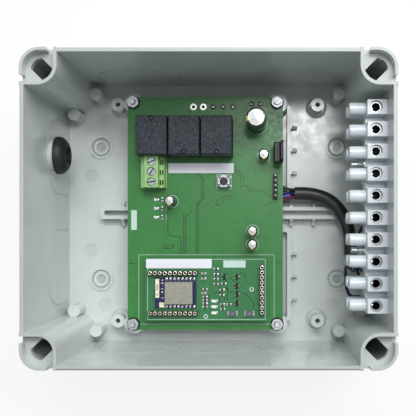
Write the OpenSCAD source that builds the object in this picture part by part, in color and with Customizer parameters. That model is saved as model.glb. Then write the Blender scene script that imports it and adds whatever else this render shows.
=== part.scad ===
// Earthquake alert receiver: a wall box with its cover off, holding a relay board,
// a raised radio board and a ten-way connector strip bolted to the side wall.
// Origin at the middle of the outer back face, +Z out of the open front, millimetres.

/* [Enclosure] */
// Outer length of the base
box_l = 164; // [156:1:190]
// Outer width of the base
box_w = 140; // [134:1:160]
// Outer depth of the base, back face to rim
box_h = 72; // [66:1:90]
// Thickness of the side walls
wall = 2; // [1.6:0.1:2.6]
// Thickness of the floor
floor_t = 2; // [1.6:0.1:3]
// Outer radius of the vertical corners
corner_r = 8.8; // [6:0.2:9.6]
// Depth of the step cut round the outside of the rim
rim_step = 1; // [0.6:0.1:1.6]
// Width of the step cut round the outside of the rim
rim_step_w = 0.8; // [0.5:0.1:1]

/* [Corner wells] */
// Side of a corner pillar, from the outer faces
pillar = 16.3; // [15.8:0.1:17.5]
// Radius of a pillar's inner corner
pillar_r = 8.5; // [6:0.5:10]
// Thickness of a pillar's inner wall
pillar_wall = 1.5; // [1.2:0.1:1.8]
// Drop from the rim to the shelf that the cover screw turns in
shelf_drop = 5; // [4:0.5:8]
// Thickness of that shelf
shelf_t = 3; // [2:0.5:5]
// Distance of the well's axis from the outer faces
well_in = 8.7; // [8.4:0.1:9]
// Radius of the quarter-turn hole
bayonet_r = 5.2; // [4.6:0.1:5.4]
// Distance between the flats of the quarter-turn hole
bayonet_w = 6.8; // [6:0.1:7.6]
// Radius of the wall screw's hole in the floor of a well
wall_screw_r = 2.25; // [2:0.05:2.6]
// Thickness of the lip round the outside of a well
lip_t = 1.3; // [1:0.1:1.6]

/* [Moulded floor] */
// Width of the slotted rails
rail_w = 6.4; // [5.6:0.1:7]
// Height of the rails above the floor
rail_h = 6; // [4:0.5:8]
// Width of the slot along a rail
rail_slot = 2.6; // [2:0.1:3.2]
// Length of the middle rail
rail_l = 124; // [116:1:130]
// Distance of the cross rails from the middle
cross_x = 35; // [33:0.5:37]
// Length of a cross rail
cross_l = 48.5; // [44:0.5:50]
// Distance from the middle to the near end of a cross rail
cross_gap = 8.2; // [7:0.1:10]
// How far a gusset stands out from its rail
gusset = 3.5; // [2.5:0.1:4]
// Thickness of a gusset
gusset_t = 1.6; // [1.2:0.1:2]
// Height of the screw bosses above the floor
boss_h = 10; // [8:0.5:12]
// Radius of a screw boss at its top
boss_r = 3.5; // [3:0.1:4]
// Radius of the pilot hole in a boss
pilot_r = 1.2; // [1:0.05:1.5]
// Height of the round pegs beside the pillars
peg_h = 12.5; // [10:0.5:16]
// Radius of those pegs
peg_r = 3.1; // [2.6:0.1:3.4]
// Radius of a knock-out arch on the walls
arch_r = 19.3; // [16:0.1:20]
// Width of the groove that outlines an arch
arch_groove = 0.6; // [0.4:0.1:1]

/* [Cable entry] */
// Distance of the grommet from the middle line
entry_y = 27.5; // [25:0.5:32]
// Height of the grommet's axis above the back face
entry_z = 32; // [28:0.5:36]
// Radius of the grommet's neck where it passes the wall
entry_neck = 5.8; // [5.4:0.1:6.4]
// Radius of the bore for the cable
entry_bore = 3.6; // [3:0.1:4.2]
// How far the collar stands out of the wall inside
collar_l = 2.6; // [2:0.1:4]
// Outer radius of the grommet's flange
flange_r = 9.2; // [8.6:0.1:10]

/* [Main board] */
// Length of the main board along X
board_l = 80; // [79:0.5:84]
// Width of the main board along Y
board_w = 120; // [119:0.5:124]
// Thickness of the boards
board_t = 1.6; // [1.2:0.1:2]
// Offset of the main board from the middle of the box
board_x = -6.2; // [-8:0.2:-5]
// Height of the board posts above the floor
post_h = 11.8; // [10.5:0.1:14]
// Distance of the board's holes from its edges
hole_in = 3; // [2.8:0.1:3.4]
// Thread diameter of the fixing screws
screw_d = 3; // [2.5:0.1:3.2]
// Length of a board screw below its head
board_screw_l = 18; // [17:0.5:19]
// Width of the nuts across their flats
nut_af = 5.5; // [5:0.1:5.6]
// Height of the nuts
nut_h = 2.4; // [2:0.1:2.6]
// Thickness of the washers
washer_t = 0.5; // [0.3:0.1:0.8]

/* [Relays] */
// Width of a relay along X
relay_w = 15.4; // [14.6:0.1:15.6]
// Length of a relay along Y
relay_l = 19.2; // [18:0.1:19.8]
// Height of a relay
relay_h = 15.3; // [14:0.1:17]
// Distance from relay to relay
relay_pitch = 16.1; // [16:0.1:17]

/* [Terminal block] */
// Distance from pole to pole
block_pitch = 5.08; // [4.9:0.02:5.3]
// Height of the terminal block
block_h = 10; // [9.4:0.1:12]
// Radius of a clamp screw's head
block_head_r = 1.85; // [1.7:0.05:1.95]
// How far a clamp rises when its screw is turned fully home
clamp_travel = 2; // [1.6:0.1:2.2]

/* [Small parts] */
// Pitch of the pin headers and the sockets
pin_pitch = 2.54; // [2.5:0.02:2.6]
// Radius of the tall capacitor
big_cap_r = 5; // [4.5:0.1:5.2]
// Height of the tall capacitor
big_cap_h = 20; // [16:0.5:24]
// Radius of the small capacitors
small_cap_r = 2.5; // [2:0.1:3]
// Height of the small capacitors
small_cap_h = 11; // [8:0.5:13]
// Side of the push switch
switch_w = 6; // [5.6:0.1:6.4]
// Height of the push switch's case
switch_h = 3.4; // [3:0.1:4]
// Radius of the push button
button_r = 1.75; // [1.5:0.05:1.9]
// Travel of the push button
button_travel = 0.25; // [0.2:0.05:0.35]
// Width of the voltage regulator
regulator_w = 10; // [9.6:0.1:10.4]
// Height of the regulator's metal tab
regulator_h = 15.6; // [14.5:0.1:16]

/* [Radio board] */
// Length of the radio board along X
radio_l = 62.2; // [61:0.1:63]
// Width of the radio board along Y
radio_w = 32.4; // [32:0.1:33]
// Clear height between the two boards
radio_gap = 3.4; // [3:0.1:5]
// Pins in each socket
socket_pins = 10; // [8:1:10]
// Height of a socket's black body
socket_h = 3; // [2.6:0.1:3.6]
// Length of the radio module
module_l = 21; // [20:0.1:21.4]
// Width of the radio module
module_w = 15.6; // [15:0.1:16]
// Height of the module's metal shield
shield_h = 2.3; // [1.8:0.1:3]

/* [Connector strip] */
// Gap between the strip's upper end and the pillar beside it
strip_clear = 3.85; // [3:0.05:6]
// How far the strip sits above the middle line
strip_shift = 1.5; // [0:0.1:3]
// Height of the strip between its two wire entries
strip_h = 22.2; // [21:0.2:24]
// Drop from the rim to the strip's upper face
strip_drop = 12.7; // [9:0.1:16]
// Width of one pole's block
pole_w = 6.7; // [6.4:0.1:7.2]
// How far the blocks stand out of the wall
pole_d = 9.3; // [9:0.1:10]
// Length of a screw chimney beyond its block
chimney_l = 7.8; // [6.5:0.1:8.4]
// Outer radius of a screw chimney
chimney_r = 2.8; // [2.6:0.05:3]
// Distance between the two screws of a pole
screw_gap = 10.7; // [9.6:0.1:11.4]
// Outer radius of the metal tube in a pole
tube_r = 2.5; // [2.35:0.05:2.6]
// Bore radius of that tube
tube_bore = 1.9; // [1.8:0.05:2]
// Radius of a terminal screw's head
strip_head_r = 1.75; // [1.65:0.05:1.9]

/* [Cable] */
// Outer radius of the cable's sheath
sheath_r = 4; // [3.4:0.1:4]
// Outer radius of one insulated core
core_r = 0.8; // [0.6:0.05:0.9]

/* [Hidden] */
$fn = 48;

// Clearances
fit = 0.05;        // radial running fit of a screw in its thread
slip = 0.1;        // radial gap of a piece pushed into a hole
free = 0.3;        // gap between pieces that must never rub
cut = 0.2;         // how far a cutting solid runs past the face it opens

// Enclosure
in_x = box_l / 2 - wall;
in_y = box_w / 2 - wall;
shelf_z = box_h - shelf_drop;
well_x = box_l / 2 - well_in;
well_y = box_w / 2 - well_in;
boss_x = box_l / 2 - 30;
boss_y = box_w / 2 - 13.7;
recess_x = box_l / 2 - 19;
recess_y = box_w / 2 - 34.8;
recess_r = 6.2;
plateau_r = 3.9;
well_r = 2.5;
ejector_r = 3.5;   // marks that the mould's pins left in the floor
ejector_in = 21;
rail_round = 1.2;
gusset_pitch = 12;
ring_h = 0.8;      // height of the rings round the blind screw recesses
ring_t = 1.1;
recess_low = 0.5;  // how far the moat and the well of a recess go below the floor
recess_deep = 1;
ejector_deep = 0.3;
post_r = 5.2;
arch_clear = 6.4;  // from an arch to the pillar beside it
arch_x = box_l / 2 - pillar - arch_r - arch_clear;
arch_y = box_w / 2 - pillar - arch_r - arch_clear;

// Levels
board_under = floor_t + post_h;
board_top = board_under + board_t;
radio_under = board_top + radio_gap;
radio_top = radio_under + board_t;

// Board edges, from which every part on the board takes its place
board_y = -0.4;
left = board_x - board_l / 2;
right = board_x + board_l / 2;
top = board_y + board_w / 2;
bottom = board_y - board_w / 2;
board_holes = [for (x = [left + hole_in, right - hole_in], y = [bottom + hole_in, top - hole_in]) [x, y]];
screw_r = screw_d / 2;
hole_r = screw_r + slip;
head_r = 2.75;
head_h = 2;
head_sink = 0.4;
washer_r = 3.4;

// Relays
relay_x = left + 14.5;
relay_y = top - 21.6;
relay_pin = [0.5, 1];
relay_pin_l = board_t + 2;
relay_feet = [[0, 7.1], [6, 5.1], [-6, 5.1], [6, -7.1], [-6, -7.1]];
function relay_turn(i) = i == 0 ? 180 : 0;
function turned(p, a) = [p[0] * cos(a) - p[1] * sin(a), p[0] * sin(a) + p[1] * cos(a)];

// Terminal block, seen from its end: flange, tall body, low step and base
block_poles = 3;
block_x = left + 8.1;
block_y = top - 39.3;
block_l = block_poles * block_pitch + 0.6;
block_body = 2.1;
block_body_w = 7;
block_w = 11.7;
block_flange_h = block_h - 3;
block_step_h = block_h - 3.8;
block_screw_x = block_x + block_body + block_body_w / 2;
block_shank_r = 1.05;
block_well_deep = 2.2;
clamp_w = 3.6;
clamp_wall = 0.5;
clamp_low = 1;
clamp_h = block_h - block_well_deep - 0.8 - clamp_travel - clamp_low;
entry_h = block_flange_h - 1.2 - clamp_low - clamp_wall;
test_deep = 4.4;
// The screw ends just above the clamp's foot when the clamp is fully raised
block_shank_l = block_h - block_well_deep - clamp_low - clamp_travel - clamp_wall - free;

// Small parts on the main board
button_flange_r = button_r + free + 0.15;
switch_x = left + 49.7;
switch_y = top - 43.7;
header_pins_n = 5;
header_x = right - 3.9;
header_y = top - 46.1;
pin_w = 0.64;
regulator_x = right - 0.2;
regulator_y = top - 29.7;
tab_t = 1.3;
regulator_lift = 3;
regulator_body_h = 9;
regulator_d = 4.6;
tab_hole_drop = 3.2;
caps = [
    [right - 13.6, top - 13.8, big_cap_r, big_cap_h],
    [right - 9.8, top - 30.6, small_cap_r, small_cap_h],
    [left + 22.9, top - 53.9, small_cap_r, small_cap_h],
    [right - 15.6, bottom + 50.9, small_cap_r, small_cap_h],
    [right - 15.6, bottom + 44.1, small_cap_r, small_cap_h]
];
sleeve_t = 0.25;
port_x = left + 33.9;
port_y = top - 5.1;
port_pitch = 5.08;
led_x = left + 14.7;
led_y = top - 53;
led_pitch = 4.55;
board_label_size = [33.8, 5.1];
radio_label_size = [33.4, 4.8];
label_t = 0.15;

// Radio board and what it carries, from its own middle
radio_x = left + 9.9 + radio_l / 2;
radio_y = bottom + 5 + radio_w / 2;
row_x = -16.95;
row_gap = 20.32;
row_y = -1.76;
column_x = 28.2;
column_y = -0.15;
socket_w = 2.5;
contact_r = 0.9;
contact_pin_r = 0.3;
contact_bore = 0.5;
contact_mouth = 0.65;
socket_l = socket_pins * pin_pitch;
module_x = radio_x - 15.6;
module_y = radio_y - 1.7;
module_t = 0.8;
module_top = radio_top + module_t;
pad_pitch = 2;
pad_offset = 2.4;
shield_x = module_x + 1.8;
shield_l = 14.4;
shield_w = 11.7;
antenna_w = 2;
antenna_l = 9.6;
antenna_h = 1.2;
small_switch = [[radio_x + 13.3, radio_y - 12.2], [radio_x + 21.8, radio_y - 12.2]];
small_switch_l = 4.6;
small_switch_w = 2.7;
small_switch_h = 1.2;
small_button_r = 0.7;
small_travel = 0.15;
test_points = [[23, 0], [-0.3, -13.8]];

// Connector strip
strip_poles = 10;
strip_top = box_h - strip_drop;
strip_mid = strip_top - strip_h / 2;
strip_pitch = (box_w - 2 * (pillar + strip_clear + strip_shift) - pole_w) / (strip_poles - 1);
strip_y = strip_shift + (strip_poles - 1) / 2 * strip_pitch;
strip_back = in_x;
strip_front = strip_back - pole_d;
tube_x = strip_back - 5.3;
tube_in = 1.8;
funnel_r = 2.85;
funnel_deep = 1.2;
screw_tip = 1.2;   // how far a backed-off screw's tip stands in the bore of its tube
web_h = 8;
chimney_bore = strip_head_r + free;
strip_head_l = 2;
strip_screw_l = tube_x - tube_bore + screw_tip - (strip_front - chimney_l + 1);
bolt_poles = [2.5, 6.5];
bolt_l = wall + pole_d + 6;

function pole_y(i) = strip_y - i * strip_pitch;

// Shared shapes

module slab(x, y, z) {
    translate([-x / 2, -y / 2, 0]) cube([x, y, z]);
}

module round_rect(x, y, r) {
    square([x - 2 * r, y], center = true);
    square([x, y - 2 * r], center = true);
    for (sx = [-1, 1], sy = [-1, 1])
        translate([sx * (x / 2 - r), sy * (y / 2 - r)]) circle(r);
}

// Box with a chamfer round its top edges
module eased_box(x, y, z, c) {
    intersection() {
        translate([0, y / 2, 0]) rotate([90, 0, 0]) linear_extrude(y)
            polygon([[-x / 2, 0], [x / 2, 0], [x / 2, z - c], [x / 2 - c, z], [c - x / 2, z], [-x / 2, z - c]]);
        translate([-x / 2, 0, 0]) rotate([90, 0, 90]) linear_extrude(x)
            polygon([[-y / 2, 0], [y / 2, 0], [y / 2, z - c], [y / 2 - c, z], [c - y / 2, z], [-y / 2, z - c]]);
    }
}

// Repeats its children in the four corners, mirrored about both middle planes
module each_corner() {
    for (mx = [0, 1], my = [0, 1]) mirror([mx, 0, 0]) mirror([0, my, 0]) children();
}

module at(places, z) {
    for (p = places) translate([p[0], p[1], z]) children();
}

// A round cord along a route, its rings carried along without twist
function unit(v) = v / norm(v);
function heading(p, i) = unit(p[min(i + 1, len(p) - 1)] - p[max(i - 1, 0)]);
function carried(p, i) =
    let (t = heading(p, i), s = i == 0 ? (abs(t[2]) < 0.9 ? cross(t, [0, 0, 1]) : [1, 0, 0]) : carried(p, i - 1))
    unit(s - t * (s * t));
module cord(p, r, n) {
    rings = [
        for (i = [0 : len(p) - 1])
            let (t = heading(p, i), s = carried(p, i), u = cross(t, s))
            for (k = [0 : n - 1]) p[i] + r * (s * cos(k * 360 / n) + u * sin(k * 360 / n))
    ];
    last = (len(p) - 1) * n;
    polyhedron(
        points = rings,
        faces = concat(
            [[for (k = [0 : n - 1]) k]],
            [[for (k = [n - 1 : -1 : 0]) last + k]],
            [for (i = [0 : len(p) - 2], k = [0 : n - 1])
                [i * n + k, (i + 1) * n + k, (i + 1) * n + (k + 1) % n]],
            [for (i = [0 : len(p) - 2], k = [0 : n - 1])
                [i * n + k, (i + 1) * n + (k + 1) % n, i * n + (k + 1) % n]]
        )
    );
}

// Enclosure

// Plan of one corner pillar, grown inwards by the given amount; the outer side is cut later
module pillar_plan(inset) {
    r = pillar_r - inset;
    x = box_l / 2 - pillar + inset;
    y = box_w / 2 - pillar + inset;
    translate([x + r, y + r]) circle(r);
    translate([x + r, y]) square([pillar, pillar]);
    translate([x, y + r]) square([pillar, pillar]);
}

module well_plan(outer) {
    intersection() {
        pillar_plan(pillar_wall);
        round_rect(box_l - 2 * outer, box_w - 2 * outer, corner_r - outer);
    }
}

// Space taken out of a corner, above and below the shelf
module corner_well() {
    lip_from = pillar - pillar_wall - 3;
    translate([0, 0, shelf_z]) linear_extrude(shelf_drop + cut) well_plan(lip_t);
    translate([0, 0, floor_t]) linear_extrude(shelf_z - shelf_t - floor_t) well_plan(wall);
    // The lip stops short of the pillar's walls at both ends
    translate([box_l / 2 - pillar + pillar_wall, box_w / 2 - lip_t - cut, shelf_z])
        cube([pillar - pillar_wall - lip_from, lip_t + 2 * cut, shelf_drop + cut]);
    translate([box_l / 2 - lip_t - cut, box_w / 2 - pillar + pillar_wall, shelf_z])
        cube([lip_t + 2 * cut, pillar - pillar_wall - lip_from, shelf_drop + cut]);
    translate([well_x, well_y, shelf_z - shelf_t - cut]) intersection() {
        cylinder(r = bayonet_r, h = shelf_t + 2 * cut);
        rotate(45) translate([-2 * bayonet_r, -bayonet_w / 2, 0])
            cube([4 * bayonet_r, bayonet_w, shelf_t + 2 * cut]);
    }
    translate([well_x, well_y, -cut]) cylinder(r = wall_screw_r, h = floor_t + 2 * cut);
}

module rail(l) {
    linear_extrude(rail_h) difference() {
        round_rect(l, rail_w, rail_round);
        round_rect(l - rail_w + rail_slot, rail_slot, rail_round / 2);
    }
}

// Fin with a hollow slope, standing out along +X
module gusset_fin() {
    rotate([90, 0, 0]) translate([0, 0, -gusset_t / 2]) linear_extrude(gusset_t) difference() {
        translate([-0.4, 0]) square([gusset + 0.4, rail_h - 0.5]);
        translate([gusset + 1.2, rail_h + 0.6]) circle(gusset + 0.6);
    }
}

// Outline of a knock-out, cut as a groove into the inner face of a wall
module arch_line() {
    module arch(r) {
        circle(r);
        translate([-r, -arch_r]) square([2 * r, arch_r]);
    }
    linear_extrude(0.4 + cut) intersection() {
        difference() {
            arch(arch_r);
            arch(arch_r - arch_groove);
        }
        translate([-arch_r, -arch_r + 0.5]) square([2 * arch_r, 2 * arch_r]);
    }
}

module wall_arches() {
    z = floor_t + arch_r;
    for (s = [0, 180]) rotate(s) {
        for (x = [-arch_x, 0, arch_x]) translate([x, in_y - cut, z]) rotate([-90, 180, 0]) arch_line();
        for (y = [-arch_y, arch_y]) translate([in_x - cut, y, z]) rotate([90, 0, 90]) arch_line();
    }
}

module floor_features() {
    translate([0, 0, floor_t]) rail(rail_l);
    for (x = [-cross_x, cross_x], s = [-1, 1])
        translate([x, s * (cross_gap + cross_l / 2), floor_t]) rotate(90) rail(cross_l);
    for (i = [0 : 1], sx = [-1, 1], sy = [-1, 1])
        translate([sx * (cross_x + 3.5 + i * gusset_pitch), sy * rail_w / 2, floor_t]) rotate(sy * 90) gusset_fin();
    for (i = [0 : 2], sx = [-1, 1], sy = [-1, 1])
        translate([sx * (cross_x + rail_w / 2), sy * (21.4 + i * gusset_pitch), floor_t])
            rotate(sx > 0 ? 0 : 180) gusset_fin();
    each_corner() {
        translate([boss_x, boss_y, floor_t]) {
            cylinder(r1 = boss_r + 2.1, r2 = boss_r + 0.5, h = 2);
            cylinder(r = boss_r, h = boss_h);
        }
        translate([recess_x, recess_y, floor_t]) cylinder(r = recess_r, h = ring_h);
        translate([box_l / 2 - 7.7, box_w / 2 - pillar - peg_r + 0.3, floor_t]) cylinder(r = peg_r, h = peg_h);
        translate([box_l / 2 - pillar - peg_r + 0.3, box_w / 2 - 8.7, floor_t]) cylinder(r = peg_r, h = peg_h);
    }
    at(board_holes, floor_t) cylinder(r1 = post_r + 1, r2 = post_r, h = post_h);
}

// Blind screw recess: a moat inside the ring, and a stepped well in the plateau it leaves
module recess() {
    difference() {
        translate([0, 0, -recess_low]) cylinder(r = recess_r - ring_t, h = recess_low + ring_h + cut);
        translate([0, 0, -recess_low]) cylinder(r1 = plateau_r + 0.5, r2 = plateau_r, h = recess_low + ring_h / 2);
    }
    translate([0, 0, -recess_low]) cylinder(r = well_r, h = recess_low + ring_h);
    translate([0, 0, -recess_deep]) difference() {
        cylinder(r = well_r, h = recess_deep);
        cylinder(r = well_r - 0.6, h = recess_deep - recess_low);
    }
}

module floor_cuts() {
    each_corner() {
        translate([boss_x, boss_y, floor_t + 1]) cylinder(r = pilot_r, h = boss_h);
        translate([recess_x, recess_y, floor_t]) recess();
        for (p = [[box_l / 2 - ejector_in, box_w / 2 - ejector_in], [in_x - 11.6, 20]])
            translate([p[0], p[1], floor_t - ejector_deep]) cylinder(r = ejector_r, h = 2 * ejector_deep);
    }
    at(board_holes, -cut) {
        cylinder(r = hole_r, h = board_under + 2 * cut);
        cylinder(r = head_r + free, h = head_sink + head_h + cut);
    }
}

// Step round the outside of the rim, between the corner wells
module rim_cut() {
    translate([0, 0, box_h - rim_step]) linear_extrude(rim_step + cut) difference() {
        square([box_l + 2, box_w + 2], center = true);
        round_rect(box_l - 2 * rim_step_w, box_w - 2 * rim_step_w, corner_r - rim_step_w);
        each_corner() translate([box_l / 2 - pillar, box_w / 2 - pillar]) square(pillar + 2);
    }
}

module enclosure_base() {
    color([0.79, 0.82, 0.82]) difference() {
        union() {
            linear_extrude(box_h) difference() {
                round_rect(box_l, box_w, corner_r);
                difference() {
                    round_rect(2 * in_x, 2 * in_y, corner_r - wall);
                    each_corner() pillar_plan(0);
                }
            }
            linear_extrude(floor_t) round_rect(box_l - 1, box_w - 1, corner_r - 0.5);
            floor_features();
            translate([-in_x - 0.5, entry_y, entry_z]) rotate([0, 90, 0])
                cylinder(r = entry_neck + slip + 1.5, h = collar_l + 0.5);
        }
        each_corner() corner_well();
        floor_cuts();
        wall_arches();
        rim_cut();
        translate([-box_l / 2 - cut, entry_y, entry_z]) rotate([0, 90, 0])
            cylinder(r = entry_neck + slip, h = wall + collar_l + 2 * cut);
        for (i = bolt_poles) translate([in_x - cut, pole_y(i), strip_mid]) rotate([0, 90, 0])
            cylinder(r = hole_r, h = wall + 2 * cut);
    }
}

module cable_grommet() {
    out = box_l / 2;
    tip = collar_l + 5.4;
    color([0.09, 0.09, 0.1]) translate([-in_x, entry_y, entry_z]) rotate([0, 90, 0]) difference() {
        rotate_extrude() polygon([
            [entry_bore, -wall - 1.8], [flange_r - 1, -wall - 1.8], [flange_r - 0.4, -wall],
            [entry_neck, -wall], [entry_neck, collar_l], [flange_r, collar_l],
            [flange_r, collar_l + 1.6], [flange_r - 0.4, collar_l + 2.9], [flange_r - 1.3, collar_l + 4],
            [flange_r - 2.5, collar_l + 4.9], [flange_r - 3.4, tip], [entry_bore + 1.3, tip],
            [entry_bore + 1.1, tip - 0.4], [entry_bore + 0.2, tip - 0.4], [entry_bore, tip]
        ]);
        // Nicks in the shoulder, left when it was pulled through the wall
        for (a = [95, 250]) rotate(a) translate([flange_r - 2.2, -0.7, tip - 2]) cube([3, 1.4, 2 + cut]);
    }
}

// Main board

module main_board() {
    color([0.25, 0.52, 0.3]) difference() {
        translate([left, bottom, board_under]) cube([board_l, board_w, board_t]);
        at(board_holes, board_under - cut) cylinder(r = hole_r, h = board_t + 2 * cut);
        for (i = [0 : 4]) translate([port_x + i * port_pitch, port_y, board_under - cut])
            cylinder(r = 0.65, h = board_t + 2 * cut);
        for (i = [0 : 2]) at(relay_pin_places(i), board_under - cut)
            cylinder(r = 0.7, h = board_t + 2 * cut);
        at(header_places(), board_under - cut) cylinder(r = 0.55, h = board_t + 2 * cut);
        at(regulator_legs(), board_under - cut) cylinder(r = 0.6, h = board_t + 2 * cut);
    }
}

module board_screws() {
    z = head_sink + head_h;
    color([0.78, 0.79, 0.8]) at(board_holes, 0) {
        translate([0, 0, z]) cylinder(r = screw_r, h = board_screw_l);
        difference() {
            translate([0, 0, head_sink]) cylinder(r = head_r, h = head_h);
            for (a = [0, 90]) rotate(a) translate([-1.5, -0.3, head_sink - cut]) cube([3, 0.6, 1.2 + cut]);
        }
    }
}

module board_washers() {
    color([0.7, 0.71, 0.72]) at(board_holes, board_top) difference() {
        cylinder(r = washer_r, h = washer_t);
        translate([0, 0, -cut]) cylinder(r = hole_r, h = washer_t + 2 * cut);
    }
}

// Hexagon nut with its corners turned down on the outer face
module nut() {
    across = nut_af / cos(30) / 2;
    difference() {
        intersection() {
            cylinder(r = across, h = nut_h, $fn = 6);
            cylinder(r1 = across + nut_h, r2 = across - 0.35, h = nut_h + 0.01);
        }
        translate([0, 0, -cut]) cylinder(r = screw_r + fit, h = nut_h + 2 * cut);
    }
}

module board_nuts() {
    turns = [12, 40, 5, 28];
    color([0.8, 0.81, 0.82]) for (i = [0 : 3])
        translate([board_holes[i][0], board_holes[i][1], board_top + washer_t]) rotate(turns[i]) nut();
}

// Relays

function relay_place(i) = [relay_x + i * relay_pitch, relay_y];
function relay_pin_places(i) = [for (p = relay_feet) relay_place(i) + turned(p, relay_turn(i))];

module relay(i) {
    color([0.24, 0.25, 0.28]) translate([relay_place(i)[0], relay_place(i)[1], board_top])
        rotate(relay_turn(i)) difference() {
            eased_box(relay_w, relay_l, relay_h, 0.4);
            // Vent hole and the moulded dot in one corner
            translate([0, 1.3 - relay_l / 2, relay_h - 0.8]) cylinder(r = 0.7, h = 1);
            translate([relay_w / 2 - 1.4, 1.2 - relay_l / 2, relay_h - 0.2]) cylinder(r = 0.5, h = 1);
        }
}

module relay_1() {
    relay(0);
}

module relay_2() {
    relay(1);
}

module relay_3() {
    relay(2);
}

module relay_pins() {
    color([0.75, 0.75, 0.76]) for (i = [0 : 2]) at(relay_pin_places(i), board_top - relay_pin_l)
        slab(relay_pin[0], relay_pin[1], relay_pin_l);
}

// Terminal block

function block_pole_y(i) = block_y + (1 - i) * block_pitch;

module terminal_block() {
    color([0.6, 0.78, 0.5]) difference() {
        translate([block_x, block_y + block_l / 2, board_top]) rotate([90, 0, 0]) linear_extrude(block_l)
            polygon([
                [0, 0], [block_w + 0.4, 0], [block_w + 0.4, 1], [block_w, 1], [block_w, block_step_h - 0.6],
                [block_w - 0.6, block_step_h], [block_body + block_body_w, block_step_h],
                [block_body + block_body_w, block_h], [block_body, block_h],
                [block_body, block_flange_h + 0.6], [block_body - 0.6, block_flange_h], [0, block_flange_h]
            ]);
        for (i = [0 : block_poles - 1]) translate([block_screw_x, block_pole_y(i), board_top]) {
            // Screw well, screw hole and the chamber that the clamp rises in
            translate([0, 0, block_h - block_well_deep]) cylinder(r = block_head_r + free, h = block_well_deep + cut);
            translate([0, 0, 1]) cylinder(r = block_shank_r + free, h = block_h);
            translate([0, 0, clamp_low - free])
                slab(clamp_w + 2 * free, clamp_w + 2 * free, clamp_h + clamp_travel + 2 * free);
            // Wire entry under the flange
            translate([-block_body_w / 2 - block_body - cut, -clamp_w / 2, clamp_low + clamp_wall])
                cube([block_body_w / 2 + block_body + cut, clamp_w, entry_h]);
            // Test slots on the low step
            for (x = [0.2, 1.35]) translate([block_body_w / 2 + x, -1.4, block_step_h - test_deep])
                cube([0.7, 2.4, test_deep + cut]);
        }
    }
}

module block_screw(i) {
    z = board_top + block_h - block_well_deep;
    color([0.8, 0.81, 0.84]) translate([block_screw_x, block_pole_y(i), z]) difference() {
        union() {
            cylinder(r = block_head_r, h = 1.6);
            translate([0, 0, -block_shank_l]) cylinder(r = block_shank_r, h = block_shank_l + 1);
        }
        rotate([25, 60, 10][i]) translate([-3, -0.3, 0.8]) cube([6, 0.6, 1]);
    }
}

module block_screw_1() {
    block_screw(0);
}

module block_screw_2() {
    block_screw(1);
}

module block_screw_3() {
    block_screw(2);
}

// Cage that the screw draws up against the wire
module block_clamp(i) {
    color([0.72, 0.72, 0.74]) translate([block_screw_x, block_pole_y(i), board_top + clamp_low]) difference() {
        slab(clamp_w, clamp_w, clamp_h);
        translate([0, 0, clamp_wall]) slab(clamp_w + 1, clamp_w - 2 * clamp_wall, clamp_h - 2 * clamp_wall - 0.4);
        translate([0, 0, clamp_h - clamp_wall - 0.6]) cylinder(r = block_shank_r + fit, h = clamp_wall + 1);
    }
}

module block_clamp_1() {
    block_clamp(0);
}

module block_clamp_2() {
    block_clamp(1);
}

module block_clamp_3() {
    block_clamp(2);
}

// Labels and small parts on the main board

module board_label() {
    color([0.89, 0.89, 0.93]) translate([left + 37.8, top - 36.7, board_top])
        linear_extrude(label_t) round_rect(board_label_size[0], board_label_size[1], 0.5);
}

module switch_body() {
    color([0.13, 0.13, 0.14]) translate([switch_x, switch_y, board_top]) difference() {
        slab(switch_w, switch_w, switch_h);
        translate([0, 0, switch_h - button_travel - 0.7]) cylinder(r = button_flange_r + free, h = 2);
    }
}

module switch_cover() {
    color([0.75, 0.76, 0.77]) translate([switch_x, switch_y, board_top + switch_h]) difference() {
        slab(switch_w, switch_w, 0.3);
        translate([0, 0, -cut]) cylinder(r = button_r + free, h = 1);
        for (a = [45 : 90 : 315]) rotate(a) translate([switch_w * 0.58, 0, -cut]) cylinder(r = 0.5, h = 1);
    }
}

module switch_button() {
    z = board_top + switch_h - 0.35;
    color([0.1, 0.1, 0.11]) translate([switch_x, switch_y, z]) {
        cylinder(r = button_r, h = 1.6);
        translate([0, 0, -0.25]) cylinder(r = button_flange_r, h = 0.5);
    }
}

function header_places() = [
    for (i = [0 : header_pins_n - 1])
        [header_x, header_y + (i - (header_pins_n - 1) / 2) * pin_pitch]
];

module header_body() {
    color([0.1, 0.1, 0.11]) difference() {
        at(header_places(), board_top) slab(2.5, pin_pitch, 2.5);
        at(header_places(), board_top - cut) slab(pin_w + 0.1, pin_w + 0.1, 3);
    }
}

module header_pins() {
    color([0.82, 0.76, 0.55]) at(header_places(), board_under - 1.4) slab(pin_w, pin_w, board_t + 1.4 + 8.5);
}

function regulator_legs() = [for (i = [-1 : 1]) [regulator_x - tab_t - 1.7, regulator_y + i * 2.54]];

module regulator_body() {
    d = regulator_d - tab_t;
    color([0.12, 0.12, 0.13]) translate([regulator_x - tab_t - d / 2, regulator_y, board_top + regulator_lift])
        eased_box(d, regulator_w, regulator_body_h, 0.5);
}

// Heat tab with its hole, and the three legs
module regulator_tab() {
    color([0.78, 0.79, 0.8]) {
        translate([regulator_x - tab_t / 2, regulator_y, board_top + regulator_lift]) difference() {
            slab(tab_t, regulator_w, regulator_h);
            translate([-tab_t, 0, regulator_h - tab_hole_drop]) rotate([0, 90, 0]) cylinder(r = 1.8, h = 2 * tab_t);
            for (s = [-1, 1]) translate([0, s * regulator_w / 2, regulator_h])
                rotate([45, 0, 0]) cube([2 * tab_t, 1.4, 1.4], center = true);
        }
        at(regulator_legs(), board_under - 1.2) slab(0.5, 0.8, board_t + 1.2 + regulator_lift);
    }
}

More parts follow.
